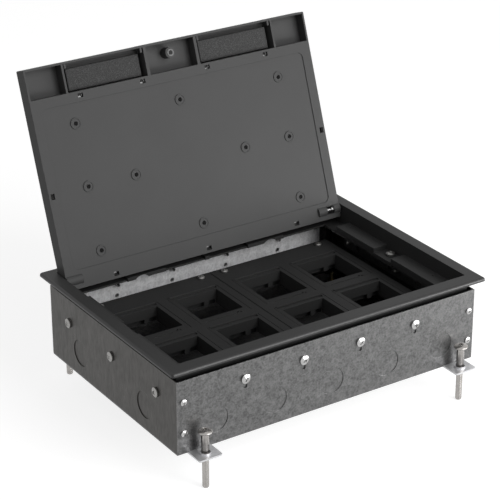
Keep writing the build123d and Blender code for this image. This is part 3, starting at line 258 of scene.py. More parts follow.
# Half sizes of the flange and of the skirt, height of the flange's underside, all in mm, and the
# roughness of the rubbed rim.
TRIM_RIM = {"flange": (165, 116), "skirt": (154, 104), "underside": 78.9, "roughness": 0.3}
RUB_STARTS, RUB_FULL = 0.984, 0.992
# Near black, painted on the skirt as the shade under the flange.
SKIRT_PAINTED_SHADE = "#030303"


def share_of(tree, reach, halves):
    """How far out a point of a flat frame lies: 1 on the outline that has these half sizes in mm."""
    along, across = [add(tree, "ShaderNodeMath", {"operation": "DIVIDE"}, {1: half * MM}, {0: distance})
                     for distance, half in zip(reach, halves)]
    return add(tree, "ShaderNodeMath", {"operation": "MAXIMUM"},
               links={0: along.outputs[0], 1: across.outputs[0]}).outputs[0]


def rubbed_rim_and_painted_shade(tree, where, sheen, shade, rim):
    """Change roughness on the rim of a flat frame, and paint shade as near black on the skirt below its
    flange.
    """
    axes = add(tree, "ShaderNodeSeparateXYZ", links={"Vector": where})
    reach = [add(tree, "ShaderNodeMath", {"operation": "ABSOLUTE"}, links={0: axes.outputs[i]}).outputs[0]
             for i in (0, 1)]
    rubbed = add(tree, "ShaderNodeMapRange", values={"From Min": RUB_STARTS, "From Max": RUB_FULL},
                 links={"Value": share_of(tree, reach, rim["flange"])})
    sheen = add(tree, "ShaderNodeMix", {"data_type": "FLOAT"}, {3: rim["roughness"]},
                {0: rubbed.outputs[0], 2: sheen}).outputs[0]
    below = add(tree, "ShaderNodeMath", {"operation": "LESS_THAN"}, {1: rim["underside"] * MM},
                {0: axes.outputs[2]})
    beyond = add(tree, "ShaderNodeMath", {"operation": "GREATER_THAN"}, {1: RUB_FULL},
                 {0: share_of(tree, reach, rim["skirt"])})
    skirt = add(tree, "ShaderNodeMath", {"operation": "MULTIPLY"},
                links={0: below.outputs[0], 1: beyond.outputs[0]})
    # Painted shade: the skirt's face below the flange is coloured near black.
    shade = add(tree, "ShaderNodeMix", {"data_type": "RGBA"}, {7: linear(SKIRT_PAINTED_SHADE)},
                {0: skirt.outputs[0], 6: shade}).outputs[2]
    return sheen, shade


print("the rim starts to shine at", RUB_STARTS * TRIM_RIM["flange"][0], "mm from the middle")

# %% Moulded plastic
PLASTIC_CLOUD = 45 * MM
PLASTIC_ROUGHNESS = 0.55
# How far the roughness swings to both sides of its middle value.
ROUGHNESS_SWING = 0.06
GRAIN_WIDTH, GRAIN_DEPTH = 0.8 * MM, 0.03 * MM
ABS_IOR = 1.53


def moulded_plastic(name, colour, worn, shine, rim=None):
    """Satin moulded plastic: a cloud of slightly worn colour, fine grain and rounded edges."""
    material, tree, output = new_material(name)
    where = add(tree, "ShaderNodeTexCoord").outputs["Object"]
    cloud = add(tree, "ShaderNodeTexNoise", values={"Scale": 1 / PLASTIC_CLOUD, "Detail": 3.0},
                links={"Vector": where})
    tint = add(tree, "ShaderNodeMix", {"data_type": "RGBA"},
               values={6: linear(colour), 7: linear(worn)}, links={0: cloud.outputs["Fac"]})
    grain = add(tree, "ShaderNodeTexNoise", values={"Scale": 1 / GRAIN_WIDTH, "Detail": 2.0},
                links={"Vector": where})
    satin = add(tree, "ShaderNodeMapRange",
                values={"To Min": PLASTIC_ROUGHNESS - ROUGHNESS_SWING,
                        "To Max": PLASTIC_ROUGHNESS + ROUGHNESS_SWING},
                links={"Value": grain.outputs["Fac"]})
    sheen, shade = satin.outputs[0], tint.outputs[2]
    if rim:
        sheen, shade = rubbed_rim_and_painted_shade(tree, where, sheen, shade, rim)
    rounded = add(tree, "ShaderNodeBevel", values={"Radius": EDGE_ROUND})
    bump = add(tree, "ShaderNodeBump", values={"Strength": 0.25, "Distance": GRAIN_DEPTH},
               links={"Height": grain.outputs["Fac"], "Normal": rounded.outputs[0]})
    skin = add(tree, "ShaderNodeBsdfPrincipled", values={"Specular IOR Level": shine, "IOR": ABS_IOR},
               links={"Base Color": shade, "Roughness": sheen, "Normal": bump.outputs[0]})
    tree.links.new(skin.outputs[0], output.inputs["Surface"])
    return material


# The lid is painted a shade greyer, as the light on a face seen flat on. The plates lie deep in the box and
# barely shine.
lid_plastic = moulded_plastic("satin_moulded_abs_lid_painted_light", "#414141", "#464646", 0.12)
trim_plastic = moulded_plastic("satin_moulded_abs_trim_skirt_painted_shade", "#252525", "#2a2a2a", 0.3, TRIM_RIM)
plate_plastic = moulded_plastic("satin_moulded_abs_plate", "#2f2f2f", "#353535", 0.08)
print("plastics:", lid_plastic.name, trim_plastic.name, plate_plastic.name)

# %% [markdown]
# ## Galvanised sheet
# The box is folded from steel sheet that was dipped in molten zinc. As the zinc freezes it leaves
# spangles, patches of crystal that each catch the light a little differently, under a fine dull mottle.
# The sheet is a metal, so it has no colour of its own below the reflection: the pattern goes into the
# brightness and the roughness of that reflection.

# %% Galvanised sheet
SPANGLE_WOBBLE = 6 * MM
WOBBLE_SHARE = 0.012
DULL_SPECKLE = 1.6 * MM
# How much of the pattern the cloud takes from the spangles, and then the speckle from both.
CLOUD_SHARE, SPECKLE_SHARE = 0.6, 0.4
# Values of the pattern at which the zinc is darkest and brightest.
PATTERN_LOW, PATTERN_HIGH = 0.35, 0.65
SPANGLE_DEPTH = 0.05 * MM
ROUGH_PATCH, BRIGHT_PATCH = 0.42, 0.27


def galvanised_sheet(name, dark, bright, spangle_mm, cloud_mm, metallic, streak=1.0):
    """Zinc spangles, a cloudy mottle and a fine dull speckle. streak draws the pattern out upwards."""
    material, tree, output = new_material(name)
    place = add(tree, "ShaderNodeTexCoord").outputs["Object"]
    where = add(tree, "ShaderNodeMapping", values={"Scale": (1.0, 1.0, 1.0 / streak)},
                links={"Vector": place}).outputs[0]
    wobble = add(tree, "ShaderNodeTexNoise", values={"Scale": 1 / SPANGLE_WOBBLE, "Detail": 3.0},
                 links={"Vector": where})
    bent = add(tree, "ShaderNodeMix", {"data_type": "VECTOR"}, values={0: WOBBLE_SHARE},
               links={4: where, 5: wobble.outputs["Color"]})
    spangle = add(tree, "ShaderNodeTexVoronoi", {"feature": "SMOOTH_F1"},
                  values={"Scale": 1 / (spangle_mm * MM), "Smoothness": 0.6},
                  links={"Vector": bent.outputs[1]})
    cloud = add(tree, "ShaderNodeTexNoise",
                values={"Scale": 1 / (cloud_mm * MM), "Detail": 6.0, "Roughness": 0.72},
                links={"Vector": where})
    speckle = add(tree, "ShaderNodeTexNoise", values={"Scale": 1 / DULL_SPECKLE, "Detail": 3.0},
                  links={"Vector": where})
    crystal = add(tree, "ShaderNodeMix", {"data_type": "FLOAT"}, values={0: CLOUD_SHARE},
                  links={2: spangle.outputs["Distance"], 3: cloud.outputs["Fac"]})
    mottle = add(tree, "ShaderNodeMix", {"data_type": "FLOAT"}, values={0: SPECKLE_SHARE},
                 links={2: crystal.outputs[0], 3: speckle.outputs["Fac"]})
    level = add(tree, "ShaderNodeMapRange", values={"From Min": PATTERN_LOW, "From Max": PATTERN_HIGH},
                links={"Value": mottle.outputs[0]})
    zinc = add(tree, "ShaderNodeMix", {"data_type": "RGBA"}, values={6: linear(dark), 7: linear(bright)},
               links={0: level.outputs[0]})
    dull = add(tree, "ShaderNodeMapRange", values={"To Min": ROUGH_PATCH, "To Max": BRIGHT_PATCH},
               links={"Value": level.outputs[0]})
    rounded = add(tree, "ShaderNodeBevel", values={"Radius": EDGE_ROUND})
    bump = add(tree, "ShaderNodeBump", values={"Strength": 0.2, "Distance": SPANGLE_DEPTH},
               links={"Height": mottle.outputs[0], "Normal": rounded.outputs[0]})
    skin = add(tree, "ShaderNodeBsdfPrincipled", values={"Metallic": metallic},
               links={"Base Color": zinc.outputs[2], "Roughness": dull.outputs[0],
                      "Normal": bump.outputs[0]})
    tree.links.new(skin.outputs[0], output.inputs["Surface"])
    return material


# The walls show clear spangles. The ends have a pattern drawn out upwards by rolling, painted darker as
# shade on the sides that face away from the lamps. The rear rail is painted pale and bright, with little
# metal shine, as the light that falls on it.
galvanised_steel = galvanised_sheet("hot_dip_galvanised_sheet", "#4a4a4a", "#757575", 3.8, 9.0, 0.86)
end_sheet_painted_shade = galvanised_sheet("rolled_galvanised_sheet_painted_shade", "#3a3937", "#444240", 3.0, 5.0, 0.9, 4.0)
inner_sheet_painted_light = galvanised_sheet("galvanised_inside_painted_light", "#b8b8b9", "#e8e8e9", 5.0, 8.0, 0.2, 1.2)
print("sheets:", galvanised_steel.name, end_sheet_painted_shade.name, inner_sheet_painted_light.name)

# %% [markdown]
# ## Bright metal
# The screws are steel with a thin electroplated zinc coat, the hinge pins are ground steel and the
# earth nuts are brass. All are smooth metals that differ in colour and in how sharp their reflections
# are. A coat that has gone dull under a film of zinc dust is no longer a pure mirror, so some are a
# little less than fully metallic.

# %% Plated and ground metals
POLISH_CLOUD = 3 * MM


def bright_metal(name, dull, clean, roughness, metallic=1.0):
    """Plated or ground metal with a faint cloud in its polish."""
    material, tree, output = new_material(name)
    where = add(tree, "ShaderNodeTexCoord").outputs["Object"]
    cloud = add(tree, "ShaderNodeTexNoise", values={"Scale": 1 / POLISH_CLOUD, "Detail": 3.0},
                links={"Vector": where})
    tint = add(tree, "ShaderNodeMix", {"data_type": "RGBA"},
               values={6: linear(dull), 7: linear(clean)}, links={0: cloud.outputs["Fac"]})
    polish = add(tree, "ShaderNodeMapRange",
                 values={"To Min": roughness + ROUGHNESS_SWING, "To Max": roughness - ROUGHNESS_SWING},
                 links={"Value": cloud.outputs["Fac"]})
    skin = add(tree, "ShaderNodeBsdfPrincipled", values={"Metallic": metallic},
               links={"Base Color": tint.outputs[2], "Roughness": polish.outputs[0]})
    tree.links.new(skin.outputs[0], output.inputs["Surface"])
    return material


# Wall screws: clean and sharp.
zinc_plate = bright_metal("bright_zinc_plate", "#a2a1a0", "#bcbcbc", 0.22)
# Hinge pins and their spring: ground or drawn, a softer glint.
pin_steel = bright_metal("ground_steel", "#8e8e8e", "#a4a4a4", 0.3)
spring_steel = bright_metal("drawn_spring_steel", "#8c8c8c", "#a5a5a5", 0.3)
# Earth stud and its nuts: pale brass.
brass_plate = bright_metal("brass_plate", "#827554", "#9c9070", 0.34)
# Screws in the lid's stiffener: nearly black.
black_oxide = bright_metal("black_oxide_steel", "#0e0e0e", "#161616", 0.55)
# Levelling screws: zinc with a warm cast.
warm_zinc = bright_metal("warm_zinc_plate", "#8f8c89", "#b0adaa", 0.24)
# Screws in the side brackets and the plates: painted darker than the wall screws, as shade on the
# left face and deep in the box, and a little less metallic. Those that fix the frame: darker.
zinc_painted_shade = bright_metal("zinc_plate_painted_shade", "#8b8a88", "#a3a2a0", 0.32, 0.9)
dark_screw = bright_metal("smoked_zinc_plate", "#6a6a69", "#82817f", 0.34, 0.8)
# Lock: a grey worn washer round a dark cast barrel.
worn_zinc = bright_metal("worn_zinc_plate", "#484848", "#565656", 0.45, 0.8)
lock_alloy = bright_metal("die_cast_zinc_lock", "#232323", "#2b2b2b", 0.5)
# Levelling lugs: pale and satin.
pale_zinc = bright_metal("satin_zinc_lugs", "#bcbcbe", "#d6d6d8", 0.34, 0.7)
print("metals:", zinc_plate.name, pin_steel.name, brass_plate.name, black_oxide.name, lock_alloy.name)

# %% [markdown]
# ## Foam
# The cable seals are cut from open-cell polyurethane foam. Its cut face is a field of tiny cups, so it
# has no shine. Light and shade are painted on the cells: darker in the pits and lighter on the cell walls.

# %% Open-cell foam
FOAM_CELL, FOAM_PIT = 0.9 * MM, 0.3 * MM


def open_cell_foam(name, pit_shade, wall_light):
    """Matt foam with bumped cells, painted darker in the pits as shade and lighter on the walls as light."""
    material, tree, output = new_material(name)
    where = add(tree, "ShaderNodeTexCoord").outputs["Object"]
    cells = add(tree, "ShaderNodeTexVoronoi", {"feature": "F1"}, values={"Scale": 1 / FOAM_CELL},
                links={"Vector": where})
    # Painted shade in the pits between the cells, painted light on the cell walls.
    tint = add(tree, "ShaderNodeMix", {"data_type": "RGBA"},
               values={6: linear(pit_shade), 7: linear(wall_light)}, links={0: cells.outputs["Distance"]})
    bump = add(tree, "ShaderNodeBump", values={"Strength": 0.8, "Distance": FOAM_PIT},
               links={"Height": cells.outputs["Distance"]})
    skin = add(tree, "ShaderNodeBsdfPrincipled", values={"Roughness": 1.0, "Specular IOR Level": 0.1},
               links={"Base Color": tint.outputs[2], "Normal": bump.outputs[0]})
    tree.links.new(skin.outputs[0], output.inputs["Surface"])
    return material


seal_foam = open_cell_foam("open_cell_foam_painted_light_and_shade", "#2e2e2e", "#505050")
print("foam:", seal_foam.name)

# %% [markdown]
# ## Where the screws sit
# A group of equal screws is one loaded piece with several separate solids. To put a finer screw in each
# place, the script walks over the joined corners of the loaded mesh, so that each solid gives its own
# list of corners. Seen along the screw, those corners give the middle of the head, its top and the tip.

# %% Find the screws
SAME_CORNER = 0.001 * MM


def loose_parts(node_name):
    """The corners of each separate solid in a loaded piece."""
    mesh = bmesh.new()
    mesh.from_mesh(nodes[node_name].data)
    bmesh.ops.remove_doubles(mesh, verts=mesh.verts, dist=SAME_CORNER)
    parts, seen = [], set()
    for first in mesh.verts:
        if first in seen:
            continue
        seen.add(first)
        part, edge_of_search = [], [first]
        while edge_of_search:
            corner = edge_of_search.pop()
            part.append(corner.co.copy())
            for edge in corner.link_edges:
                other = edge.other_vert(corner)
                if other not in seen:
                    seen.add(other)
                    edge_of_search.append(other)
        parts.append(part)
    mesh.free()
    return parts


def screw_places(node_name, axis):
    """For each screw: the middle of its head's top, the way out of the head, and its whole length."""
    places = []
    for part in loose_parts(node_name):
        out = Vector(axis)
        # A screw in a wall points away from the middle of the box, one that stands upright points up.
        if axis[2] == 0 and sum(corner.dot(out) for corner in part) < 0:
            out = -out
        heights = [corner.dot(out) for corner in part]
        flat = [corner - out * height for corner, height in zip(part, heights)]
        middle = Vector([(min(f[i] for f in flat) + max(f[i] for f in flat)) / 2 for i in range(3)])
        places.append((middle + out * max(heights), out, max(heights) - min(heights)))
    return places


print("wall screws:", len(screw_places("rail_screws", (0, 1, 0))))

# %% [markdown]
# ## One pan head screw
# A pan head screw is cold headed: the head is a low dome on a short rim with rounded edges, and a punch
# leaves the tapered cross. The round body could be a stack of cylinders, but a lathe profile turned
# about the axis gives every round edge at once. A boolean then takes the cross out, as the punch does.

# %% Turn a profile
TURN_STEPS = 36
DOME_STEPS = 7


def skin(mesh, rings):
    """Join rings of corners by faces, close both ends and turn every face outward."""
    for low, high in zip(rings, rings[1:]):
        for here in range(len(low)):
            after = (here + 1) % len(low)
            mesh.faces.new((low[here], low[after], high[after], high[here]))
    mesh.faces.new(list(reversed(rings[0])))
    mesh.faces.new(rings[-1])
    bmesh.ops.recalc_face_normals(mesh, faces=mesh.faces)
    return mesh


def dome(radius, crown):
    """Profile points of a low dome from its edge up to near its middle, which lies at height 0."""
    ball = (radius ** 2 + crown ** 2) / (2 * crown)
    reach = [radius * (1 - step / DOME_STEPS) for step in range(DOME_STEPS)]
    return [(r, math.sqrt(ball ** 2 - r ** 2) - ball) for r in reach]


def threaded(radius, height, share, ridge):
    """The radius after a thread is cut, where share of a turn is made and ridge says where and how deep."""
    if ridge:
        pitch, depth, low, high = ridge
        if low <= height <= high:
            phase = (height / pitch - share) % 1
            return radius - depth * abs(2 * phase - 1)
    return radius


def turned(profile, ridge=None):
    """Turn (radius, height) points in mm about Z. ridge = (pitch, depth, low, high) cuts a thread."""
    mesh = bmesh.new()
    rings = []
    for radius, height in profile:
        ring = []
        for step in range(TURN_STEPS):
            angle = math.tau * step / TURN_STEPS
            r = threaded(radius, height, step / TURN_STEPS, ridge)
            ring.append(mesh.verts.new((r * math.cos(angle) * MM, r * math.sin(angle) * MM, height * MM)))
        rings.append(ring)
    return skin(mesh, rings)


print("corners in one turned ring:", TURN_STEPS)

# %% Punch a cross
PUNCH_TAPER = 0.38


def cross_punch(arm, thin, depth):
    """A tapered plus shape in mm, that reaches as far above height 0 as below, narrower at its bottom."""
    mesh = bmesh.new()
    outline = [(arm, thin), (thin, thin), (thin, arm), (-thin, arm), (-thin, thin), (-arm, thin),
               (-arm, -thin), (-thin, -thin), (-thin, -arm), (thin, -arm), (thin, -thin), (arm, -thin)]
    return skin(mesh, [[mesh.verts.new((x * size * MM, y * size * MM, height * MM)) for x, y in outline]
                       for height, size in ((-depth, 1 - PUNCH_TAPER), (depth, 1 + PUNCH_TAPER))])


def as_object(name, mesh):
    """Put a finished bmesh into the scene as an object."""
    data = bpy.data.meshes.new(name)
    mesh.to_mesh(data)
    mesh.free()
    piece = bpy.data.objects.new(name, data)
    bpy.context.scene.collection.objects.link(piece)
    return piece


def punched(body_mesh, punch_mesh):
    """The body with the punch taken out of it, as plain mesh data."""
    body, punch = as_object("blank", body_mesh), as_object("punch", punch_mesh)
    cut = body.modifiers.new("cross", "BOOLEAN")
    cut.operation, cut.solver, cut.object = "DIFFERENCE", "EXACT", punch
    bpy.context.view_layer.update()
    data = bpy.data.meshes.new_from_object(body.evaluated_get(bpy.context.evaluated_depsgraph_get()))
    for used in (body, punch):
        bpy.data.objects.remove(used)
    return data


print("the punch is", round((1 + PUNCH_TAPER) / (1 - PUNCH_TAPER), 2), "times as wide at its top")

# %% Shape a pan head
RIM_SOFT = 0.25
CROWN_SHARE = 0.45
# Arm, thickness and depth of the cross, as shares of the head's radius and of its height.
CROSS_SHARES = (0.52, 0.13, 0.5)


def pan_screw(head, head_height, shank, length):
    """A pan head screw in mm, its head's top at the origin and its tip below."""
    crown = head_height * CROWN_SHARE
    arm, thin, depth = CROSS_SHARES
    tip = [(shank * 0.55, -length), (shank * 0.9, 0.4 * shank - length), (shank, shank - length)]
    rim = [(shank, -head_height), (head - RIM_SOFT, -head_height), (head, RIM_SOFT - head_height),
           (head, -crown - RIM_SOFT)]
    top = dome(head, crown)[:-1] + [(head * 0.08, -0.002)]
    return punched(turned(tip + rim + top), cross_punch(head * arm, head * thin, head_height * depth))


print("height of a 3 mm head's dome in mm:", 3 * CROWN_SHARE)

# %% Put the screws in place
SMOOTH_BELOW = math.radians(38)
ZINC_SLOT, BLACK_SLOT = "zinc_plated_steel", "black_oxide_steel"
# Node: axis, then head radius, head height and shank radius in mm, then finish and slot.
SCREWS = {
    "rail_screws": ((0, 1, 0), 4.4, 3.0, 1.95, zinc_plate, ZINC_SLOT),
    "side_bracket_screws": ((1, 0, 0), 4.4, 3.0, 1.95, zinc_painted_shade, ZINC_SLOT),
    "corner_screws": ((0, 1, 0), 3.0, 2.0, 1.45, zinc_plate, ZINC_SLOT),
    "frame_fixing_screws": ((0, 0, 1), 4.4, 3.0, 1.95, dark_screw, BLACK_SLOT),
    "plate_screws": ((0, 0, 1), 3.4, 2.3, 1.9, zinc_painted_shade, ZINC_SLOT),
}
BODY_OF = {name: body for body, names in frame["record"]["behaviour"]["bodies"].items() for name in names}
random.seed(7)


def smooth(piece, material):
    """Smooth the faces of a modelled piece, keep its real edges sharp and give it its finish."""
    piece.data.shade_smooth()
    piece.data.set_sharp_from_angle(angle=SMOOTH_BELOW)
    piece.data.materials.clear()
    piece.data.materials.append(material)


def finish_piece(piece, material, node_name):
    """Finish a modelled piece and let it stand for its node on the node's body."""
    smooth(piece, material)
    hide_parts(node_name)
    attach(piece, BODY_OF[node_name])


def screw_group(node_name, axis, head, head_height, shank):
    """All screws of one node, as one piece, each turned a little differently."""
    places = screw_places(node_name, axis)
    one = pan_screw(head, head_height, shank, places[0][2] / MM)
    group = bmesh.new()
    for top, out, _ in places:
        turn = Matrix.Rotation(random.uniform(0, math.tau), 4, "Z")
        copy = one.copy()
        copy.transform(Matrix.Translation(top) @ out.to_track_quat("Z", "Y").to_matrix().to_4x4() @ turn)
        group.from_mesh(copy)
        bpy.data.meshes.remove(copy)
    bpy.data.meshes.remove(one)
    return as_object(node_name.replace("_screws", "_pan_screws"), group), len(places)


for node_name, (axis, head, head_height, shank, finish, slot_name) in SCREWS.items():
    piece, count = screw_group(node_name, axis, head, head_height, shank)
    finish_piece(piece, finish, node_name)
    print(node_name, "x", count)

# %% [markdown]
# ## The levelling screws
# Each corner of the box stands on a long screw with a mushroom head. The thick plain shank runs down to
# the lug and the thinner thread below it goes through. The thread is rolled, so its crests are round
# and shallow. It is made on the same lathe profile: where the thread is, each ring's radius also
# follows the angle, which winds the ridge round the shank.

# %% Levelling screws
LEVEL_HEAD, LEVEL_SHANK, LEVEL_THREAD = 6.5, 3.45, 3.05
LEVEL_CROWN = 2.2
LEVEL_CROSS = (2.5, 0.5, 1.4)
# Height of the shank's shoulder above the underside of the box.
LEVEL_SHOULDER = 1.9
# Radius and height of the mushroom from the shank out to the rim.
LEVEL_MUSHROOM = [(LEVEL_SHANK, -5.0), (LEVEL_SHANK + 0.25, -4.55), (4.4, -4.4), (5.6, -3.9), (6.3, -3.2),
                  (LEVEL_HEAD, -2.7), (LEVEL_HEAD, -2.4)]
THREAD_PITCH = 1.0
THREAD_DEPTH = 0.22
# The thread starts this far above the tip and ends this far below the shoulder.
THREAD_FROM_TIP, THREAD_FROM_SHOULDER = 1.6, 0.6
RINGS_A_PITCH = 4


def levelling_screw(length, shoulder):
    """Mushroom head, plain shank and rolled thread in mm, the head's top at the origin."""
    rise = THREAD_PITCH / RINGS_A_PITCH
    low, high = THREAD_FROM_TIP - length, -shoulder - THREAD_FROM_SHOULDER
    profile = [(LEVEL_THREAD * 0.5, -length), (LEVEL_THREAD * 0.8, 0.35 - length),
               (LEVEL_THREAD * 0.95, 1.0 - length)]
    profile += [(LEVEL_THREAD, low + rise * step) for step in range(int((high - low) / rise) + 1)]
    profile += [(LEVEL_THREAD, -shoulder - 0.3), (LEVEL_SHANK - 0.1, -shoulder),
                (LEVEL_SHANK, 0.15 - shoulder)]
    profile += LEVEL_MUSHROOM + dome(LEVEL_HEAD - 0.1, LEVEL_CROWN)[:-1] + [(0.5, -0.008)]
    return punched(turned(profile, (THREAD_PITCH, THREAD_DEPTH, low, high)), cross_punch(*LEVEL_CROSS))


for corner in ("front_left", "front_right", "back_left", "back_right"):
    node_name = "levelling_screw_" + corner
    top, out, length = screw_places(node_name, (0, 0, 1))[0]
    data = levelling_screw(length / MM, top.z / MM - LEVEL_SHOULDER)
    data.transform(Matrix.Translation(top))
    piece = bpy.data.objects.new("levelling_foot_" + corner, data)
    bpy.context.scene.collection.objects.link(piece)
    finish_piece(piece, warm_zinc, node_name)
print("length of a levelling screw in mm:", round(length / MM, 1), "faces:", len(data.polygons))

# %% [markdown]
# ## The foam seals
# Under each cable flap sits a strip of soft foam that closes round the cables. It is die cut from a
# sheet, so the knife drags its edges in: the cut sides are slightly hollow, the corners are soft and the
# free face is crowned. The glued half keeps its square corners, and its rear edge bulges a little into
# the flap's corner, so that no light gets past it. A simulation would suit a sewn cushion. A cut block
# keeps its shape, so its corners are moved in code: a fine lattice box is rounded, crowned and made a
# little uneven, and a subdivision surface smooths it.

# %% A lattice box


def steps_between(low, high, count):
    """Places from low to high, closer together at both ends, where the rounding is."""
    return [low + (high - low) * (0.5 - 0.5 * math.cos(math.pi * i / count)) for i in range(count + 1)]


def lattice_box(places):
    """The skin of a box with corners at the given places along its three axes."""
    mesh = bmesh.new()
    corners = {}
    last = [len(along) - 1 for along in places]

    def corner(spot):
        if spot not in corners:
            corners[spot] = mesh.verts.new([along[step] for along, step in zip(places, spot)])
        return corners[spot]

    for one, two, across in ((0, 1, 2), (0, 2, 1), (1, 2, 0)):
        for p in range(last[one]):
            for q in range(last[two]):
                for end in (0, last[across]):
                    face = []
                    for ahead, aside in ((0, 0), (1, 0), (1, 1), (0, 1)):
                        spot = {one: p + ahead, two: q + aside, across: end}
                        face.append(corner((spot[0], spot[1], spot[2])))
                    mesh.faces.new(face)
    bmesh.ops.recalc_face_normals(mesh, faces=mesh.faces)
    return mesh


print("three steps between 0 and 1:", [round(s, 2) for s in steps_between(0, 1, 3)])

# %% Foam seals
LID_OPEN = 109.65
LID_TILT = math.radians(LID_OPEN - 90)
ALONG = Vector((1, 0, 0))
UP_LID = Vector((0, math.sin(LID_TILT), math.cos(LID_TILT)))
TO_USER = Vector((0, -math.cos(LID_TILT), math.sin(LID_TILT)))
FOAM_STEPS = (34, 14, 8)
FOAM_ROUND = 0.9
FOAM_CROWN = 0.5
FOAM_DRAG = 0.35
FOAM_UNEVEN = 0.12
FOAM_LUMP = 5.0
FOAM_LIP = 0.5


def on_the_pad(point, half):
    """Where a corner of the plain block, in mm from its middle, lies on the pad.

    A share of the way to a side is raised to a power, which keeps the change close to that side."""
    side = [point[i] / half[i] for i in range(3)]
    if side[2] > 0:
        core = Vector([max(FOAM_ROUND - half[i], min(half[i] - FOAM_ROUND, point[i])) for i in range(3)])
        if (point - core).length > 0:
            point = core + (point - core).normalized() * FOAM_ROUND
        waist = FOAM_DRAG * math.sin(math.pi * side[2])
        point.x -= math.copysign(waist, side[0]) * abs(side[0]) ** 12
        point.y -= math.copysign(waist, side[1]) * abs(side[1]) ** 6
        point.z -= FOAM_CROWN * max(side[0] ** 6, side[1] ** 4) * side[2]
        lump = noise.noise(Vector((point.x + half[0] * 3, point.y, 0)) / FOAM_LUMP)
        point.z -= FOAM_UNEVEN * (1 + lump)
    if side[1] < 0:
        point.y -= FOAM_LIP * side[1] ** 6 * (1 - max(side[2], 0))
    return point


def foam_seal(name, node_name):
    """One die-cut pad in the space of its node, its crowned face towards the user."""
    corners = [v.co for v in nodes[node_name].data.vertices]
    reach = [[c.dot(way) / MM for c in corners] for way in (ALONG, UP_LID, TO_USER)]
    half = [(max(r) - min(r)) / 2 for r in reach]
    middle = [(max(r) + min(r)) / 2 for r in reach]
    mesh = lattice_box([steps_between(-h, h, count) for h, count in zip(half, FOAM_STEPS)])
    for v in mesh.verts:
        point = on_the_pad(v.co.copy(), half)
        place = Vector([point[i] + middle[i] for i in range(3)]) * MM
        v.co = ALONG * place.x + UP_LID * place.y + TO_USER * place.z
    piece = as_object(name, mesh)
    finish_piece(piece, seal_foam, node_name)
    piece.modifiers.new("soft", "SUBSURF").levels = 1
    return half


for side in ("left", "right"):
    half = foam_seal("foam_pad_" + side, "cable_seal_" + side)
print("foam pad in mm:", [round(2 * h, 1) for h in half])

# %% [markdown]
# ## The spring behind the release pin
# A small compression spring pushes the right hinge pin out. It is a coil of round wire, so a ring of
# points is carried along a helix and joined up. When the pin is pressed in, the real coil shortens
# towards its fixed end; here the coil keeps the length of the loaded spring.

# %% Release spring
SPRING_WIRE = 0.3
SPRING_TURNS = 6
WIRE_SIDES = 8
spring_corners = [v.co for v in nodes["hinge_pin_spring"].data.vertices]
spring_low = Vector([min(c[i] for c in spring_corners) for i in range(3)]) / MM
spring_high = Vector([max(c[i] for c in spring_corners) for i in range(3)]) / MM
spring_length = spring_high.x - spring_low.x
coil_radius = (spring_high.y - spring_low.y) / 2 - SPRING_WIRE


def coil_spring():
    """The wire of the spring along X, in metres, with both of its ends closed."""
    mesh = bmesh.new()
    centre = (spring_low + spring_high) / 2
    steps = SPRING_TURNS * TURN_STEPS // 2
    round_wire = [math.tau * j / WIRE_SIDES for j in range(WIRE_SIDES)]
    rings = []
    for k in range(steps + 1):
        turn = math.tau * SPRING_TURNS * k / steps
        out = Vector((0, math.cos(turn), math.sin(turn)))
        middle = Vector((spring_low.x + SPRING_WIRE, centre.y, centre.z)) + out * coil_radius
        middle.x += (spring_length - 2 * SPRING_WIRE) * k / steps
        offsets = [SPRING_WIRE * (out * math.cos(a) + Vector((math.sin(a), 0, 0))) for a in round_wire]
        rings.append([mesh.verts.new((middle + offset) * MM) for offset in offsets])
    return as_object("release_spring_coil", skin(mesh, rings))


spring = coil_spring()
finish_piece(spring, spring_steel, "hinge_pin_spring")
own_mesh(spring)
print("spring length in mm:", round(spring_length, 1), "coil radius:", round(coil_radius, 2))

# %% [markdown]
# ## The snap clips of the lid
# The sheet in the lid is held along its edge by small moulded clips that are pushed into slots in the
# lid's floor. Each is a strip with a leg and a barb. They sit in the shade of their slots, and without
# them the white behind the lid would shine through. The outline of one clip is drawn across the slot,
# given its length and softened with a bevel, then turned to each place.

# %% Shape a snap clip
CLIP_LENGTH = 5.1
CLIP_PLAY = 0.05
CLIP_LEG = 1.0
CLIP_REACH = 1.9
CLIP_BARB = 0.4
CLIP_CAP = 0.9
CLIP_SOFT = 0.12


def snap_clip(room):
    """One clip in mm, its leg towards +X, in a gap that is twice room wide."""
    inside, outside = room - CLIP_LEG, room - CLIP_PLAY
    outline = [(-room, 0), (inside, 0), (inside, -CLIP_REACH), (inside + CLIP_BARB, -CLIP_REACH - CLIP_BARB),
               (outside, -CLIP_REACH), (outside, CLIP_CAP), (-room, CLIP_CAP)]
    mesh = bmesh.new()
    skin(mesh, [[mesh.verts.new((x, y, z)) for x, z in outline] for y in (-CLIP_LENGTH / 2, CLIP_LENGTH / 2)])
    bmesh.ops.bevel(mesh, geom=mesh.edges[:], offset=CLIP_SOFT, segments=2, affect="EDGES",
                    clamp_overlap=True)
    return mesh


print("a clip reaches", CLIP_REACH + CLIP_BARB, "mm into its slot")

# %% Put the clips in place
HINGE_LINE = Vector((0, 91.9, 70.5))
LID_LIFT = 7.8
LID_BACK_EDGE = 100.6
CLIP_FLOOR = 71.5
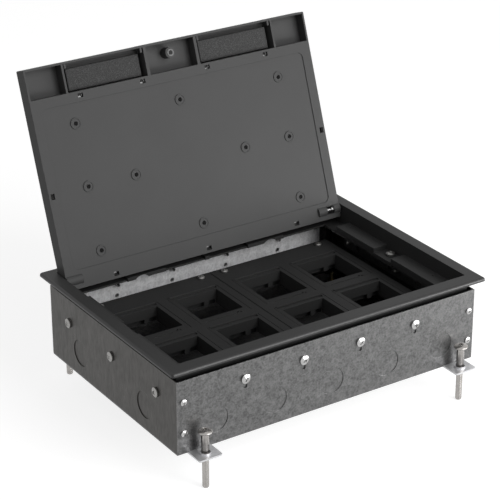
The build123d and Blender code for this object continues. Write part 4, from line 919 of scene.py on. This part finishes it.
# Place across the lid, distance from its back edge, the side it holds and half the width of its slot.
CLIPS = [(x, 170.5, "front", 1.0) for x in (-100, -35, 35, 100)]
CLIPS += [(x, 3.75, "hinge", 1.25) for x in (-100, 0, 100)]
CLIPS += [(-147.25, 86.6, "left", 1.25), (147.25, 86.6, "right", 1.25)]
CLIP_TURN = {"right": 0, "hinge": 90, "left": 180, "front": 270}


def open_lid():
    """How a point of the closed lid, in mm, moves to the open lid, in metres."""
    swing = Matrix.Rotation(math.radians(-LID_OPEN), 4, "X")
    about_hinge = Matrix.Translation(HINGE_LINE) @ swing @ Matrix.Translation(-HINGE_LINE)
    return Matrix.Scale(MM, 4) @ Matrix.Translation((0, 0, LID_LIFT)) @ about_hinge


def snap_clips():
    """All clips of the lid, as one piece."""
    group = bmesh.new()
    for x, back, side, room in CLIPS:
        clip = snap_clip(room)
        stand = Matrix.Translation((x, LID_BACK_EDGE - back, CLIP_FLOOR))
        clip.transform(open_lid() @ stand @ Matrix.Rotation(math.radians(CLIP_TURN[side]), 4, "Z"))
        copy = bpy.data.meshes.new("clip")
        clip.to_mesh(copy)
        clip.free()
        group.from_mesh(copy)
        bpy.data.meshes.remove(copy)
    return as_object("lid_snap_clips", group)


clips = snap_clips()
smooth(clips, plate_plastic)
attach(clips, "lid")
print("snap clips:", len(CLIPS))

# %% [markdown]
# ## Give every piece its finish
# The record says which slot each piece takes its finish from, so the pieces that keep their loaded
# shape are dressed by slot. A few have a finish of their own.

# %% Dress the loaded pieces
FINISH = {
    "galvanised_steel": galvanised_steel,
    "zinc_plated_steel": zinc_plate,
    "brass_plating": brass_plate,
    "trim_plastic": trim_plastic,
    "plate_plastic": plate_plastic,
    "lid_plastic": lid_plastic,
    "foam": seal_foam,
    "stiffener_steel": galvanised_steel,
    "pin_steel": pin_steel,
    "spring_steel": spring_steel,
    "black_oxide_steel": black_oxide,
}
OWN_FINISH = {
    "levelling_lugs": pale_zinc,
    # The end panels take a copy of the sheet painted darker as shade, the rear rail one painted pale as
    # light.
    "end_panel_left": end_sheet_painted_shade,
    "end_panel_right": end_sheet_painted_shade,
    "mounting_rail_back": inner_sheet_painted_light,
    "lid_lock_barrel": lock_alloy,
    "lid_lock_washer": worn_zinc,
}
for node_name, piece in nodes.items():
    for number, loaded in enumerate(piece.data.materials):
        piece.data.materials[number] = OWN_FINISH.get(node_name) or FINISH[loaded.name]
print("dressed:", len(nodes))
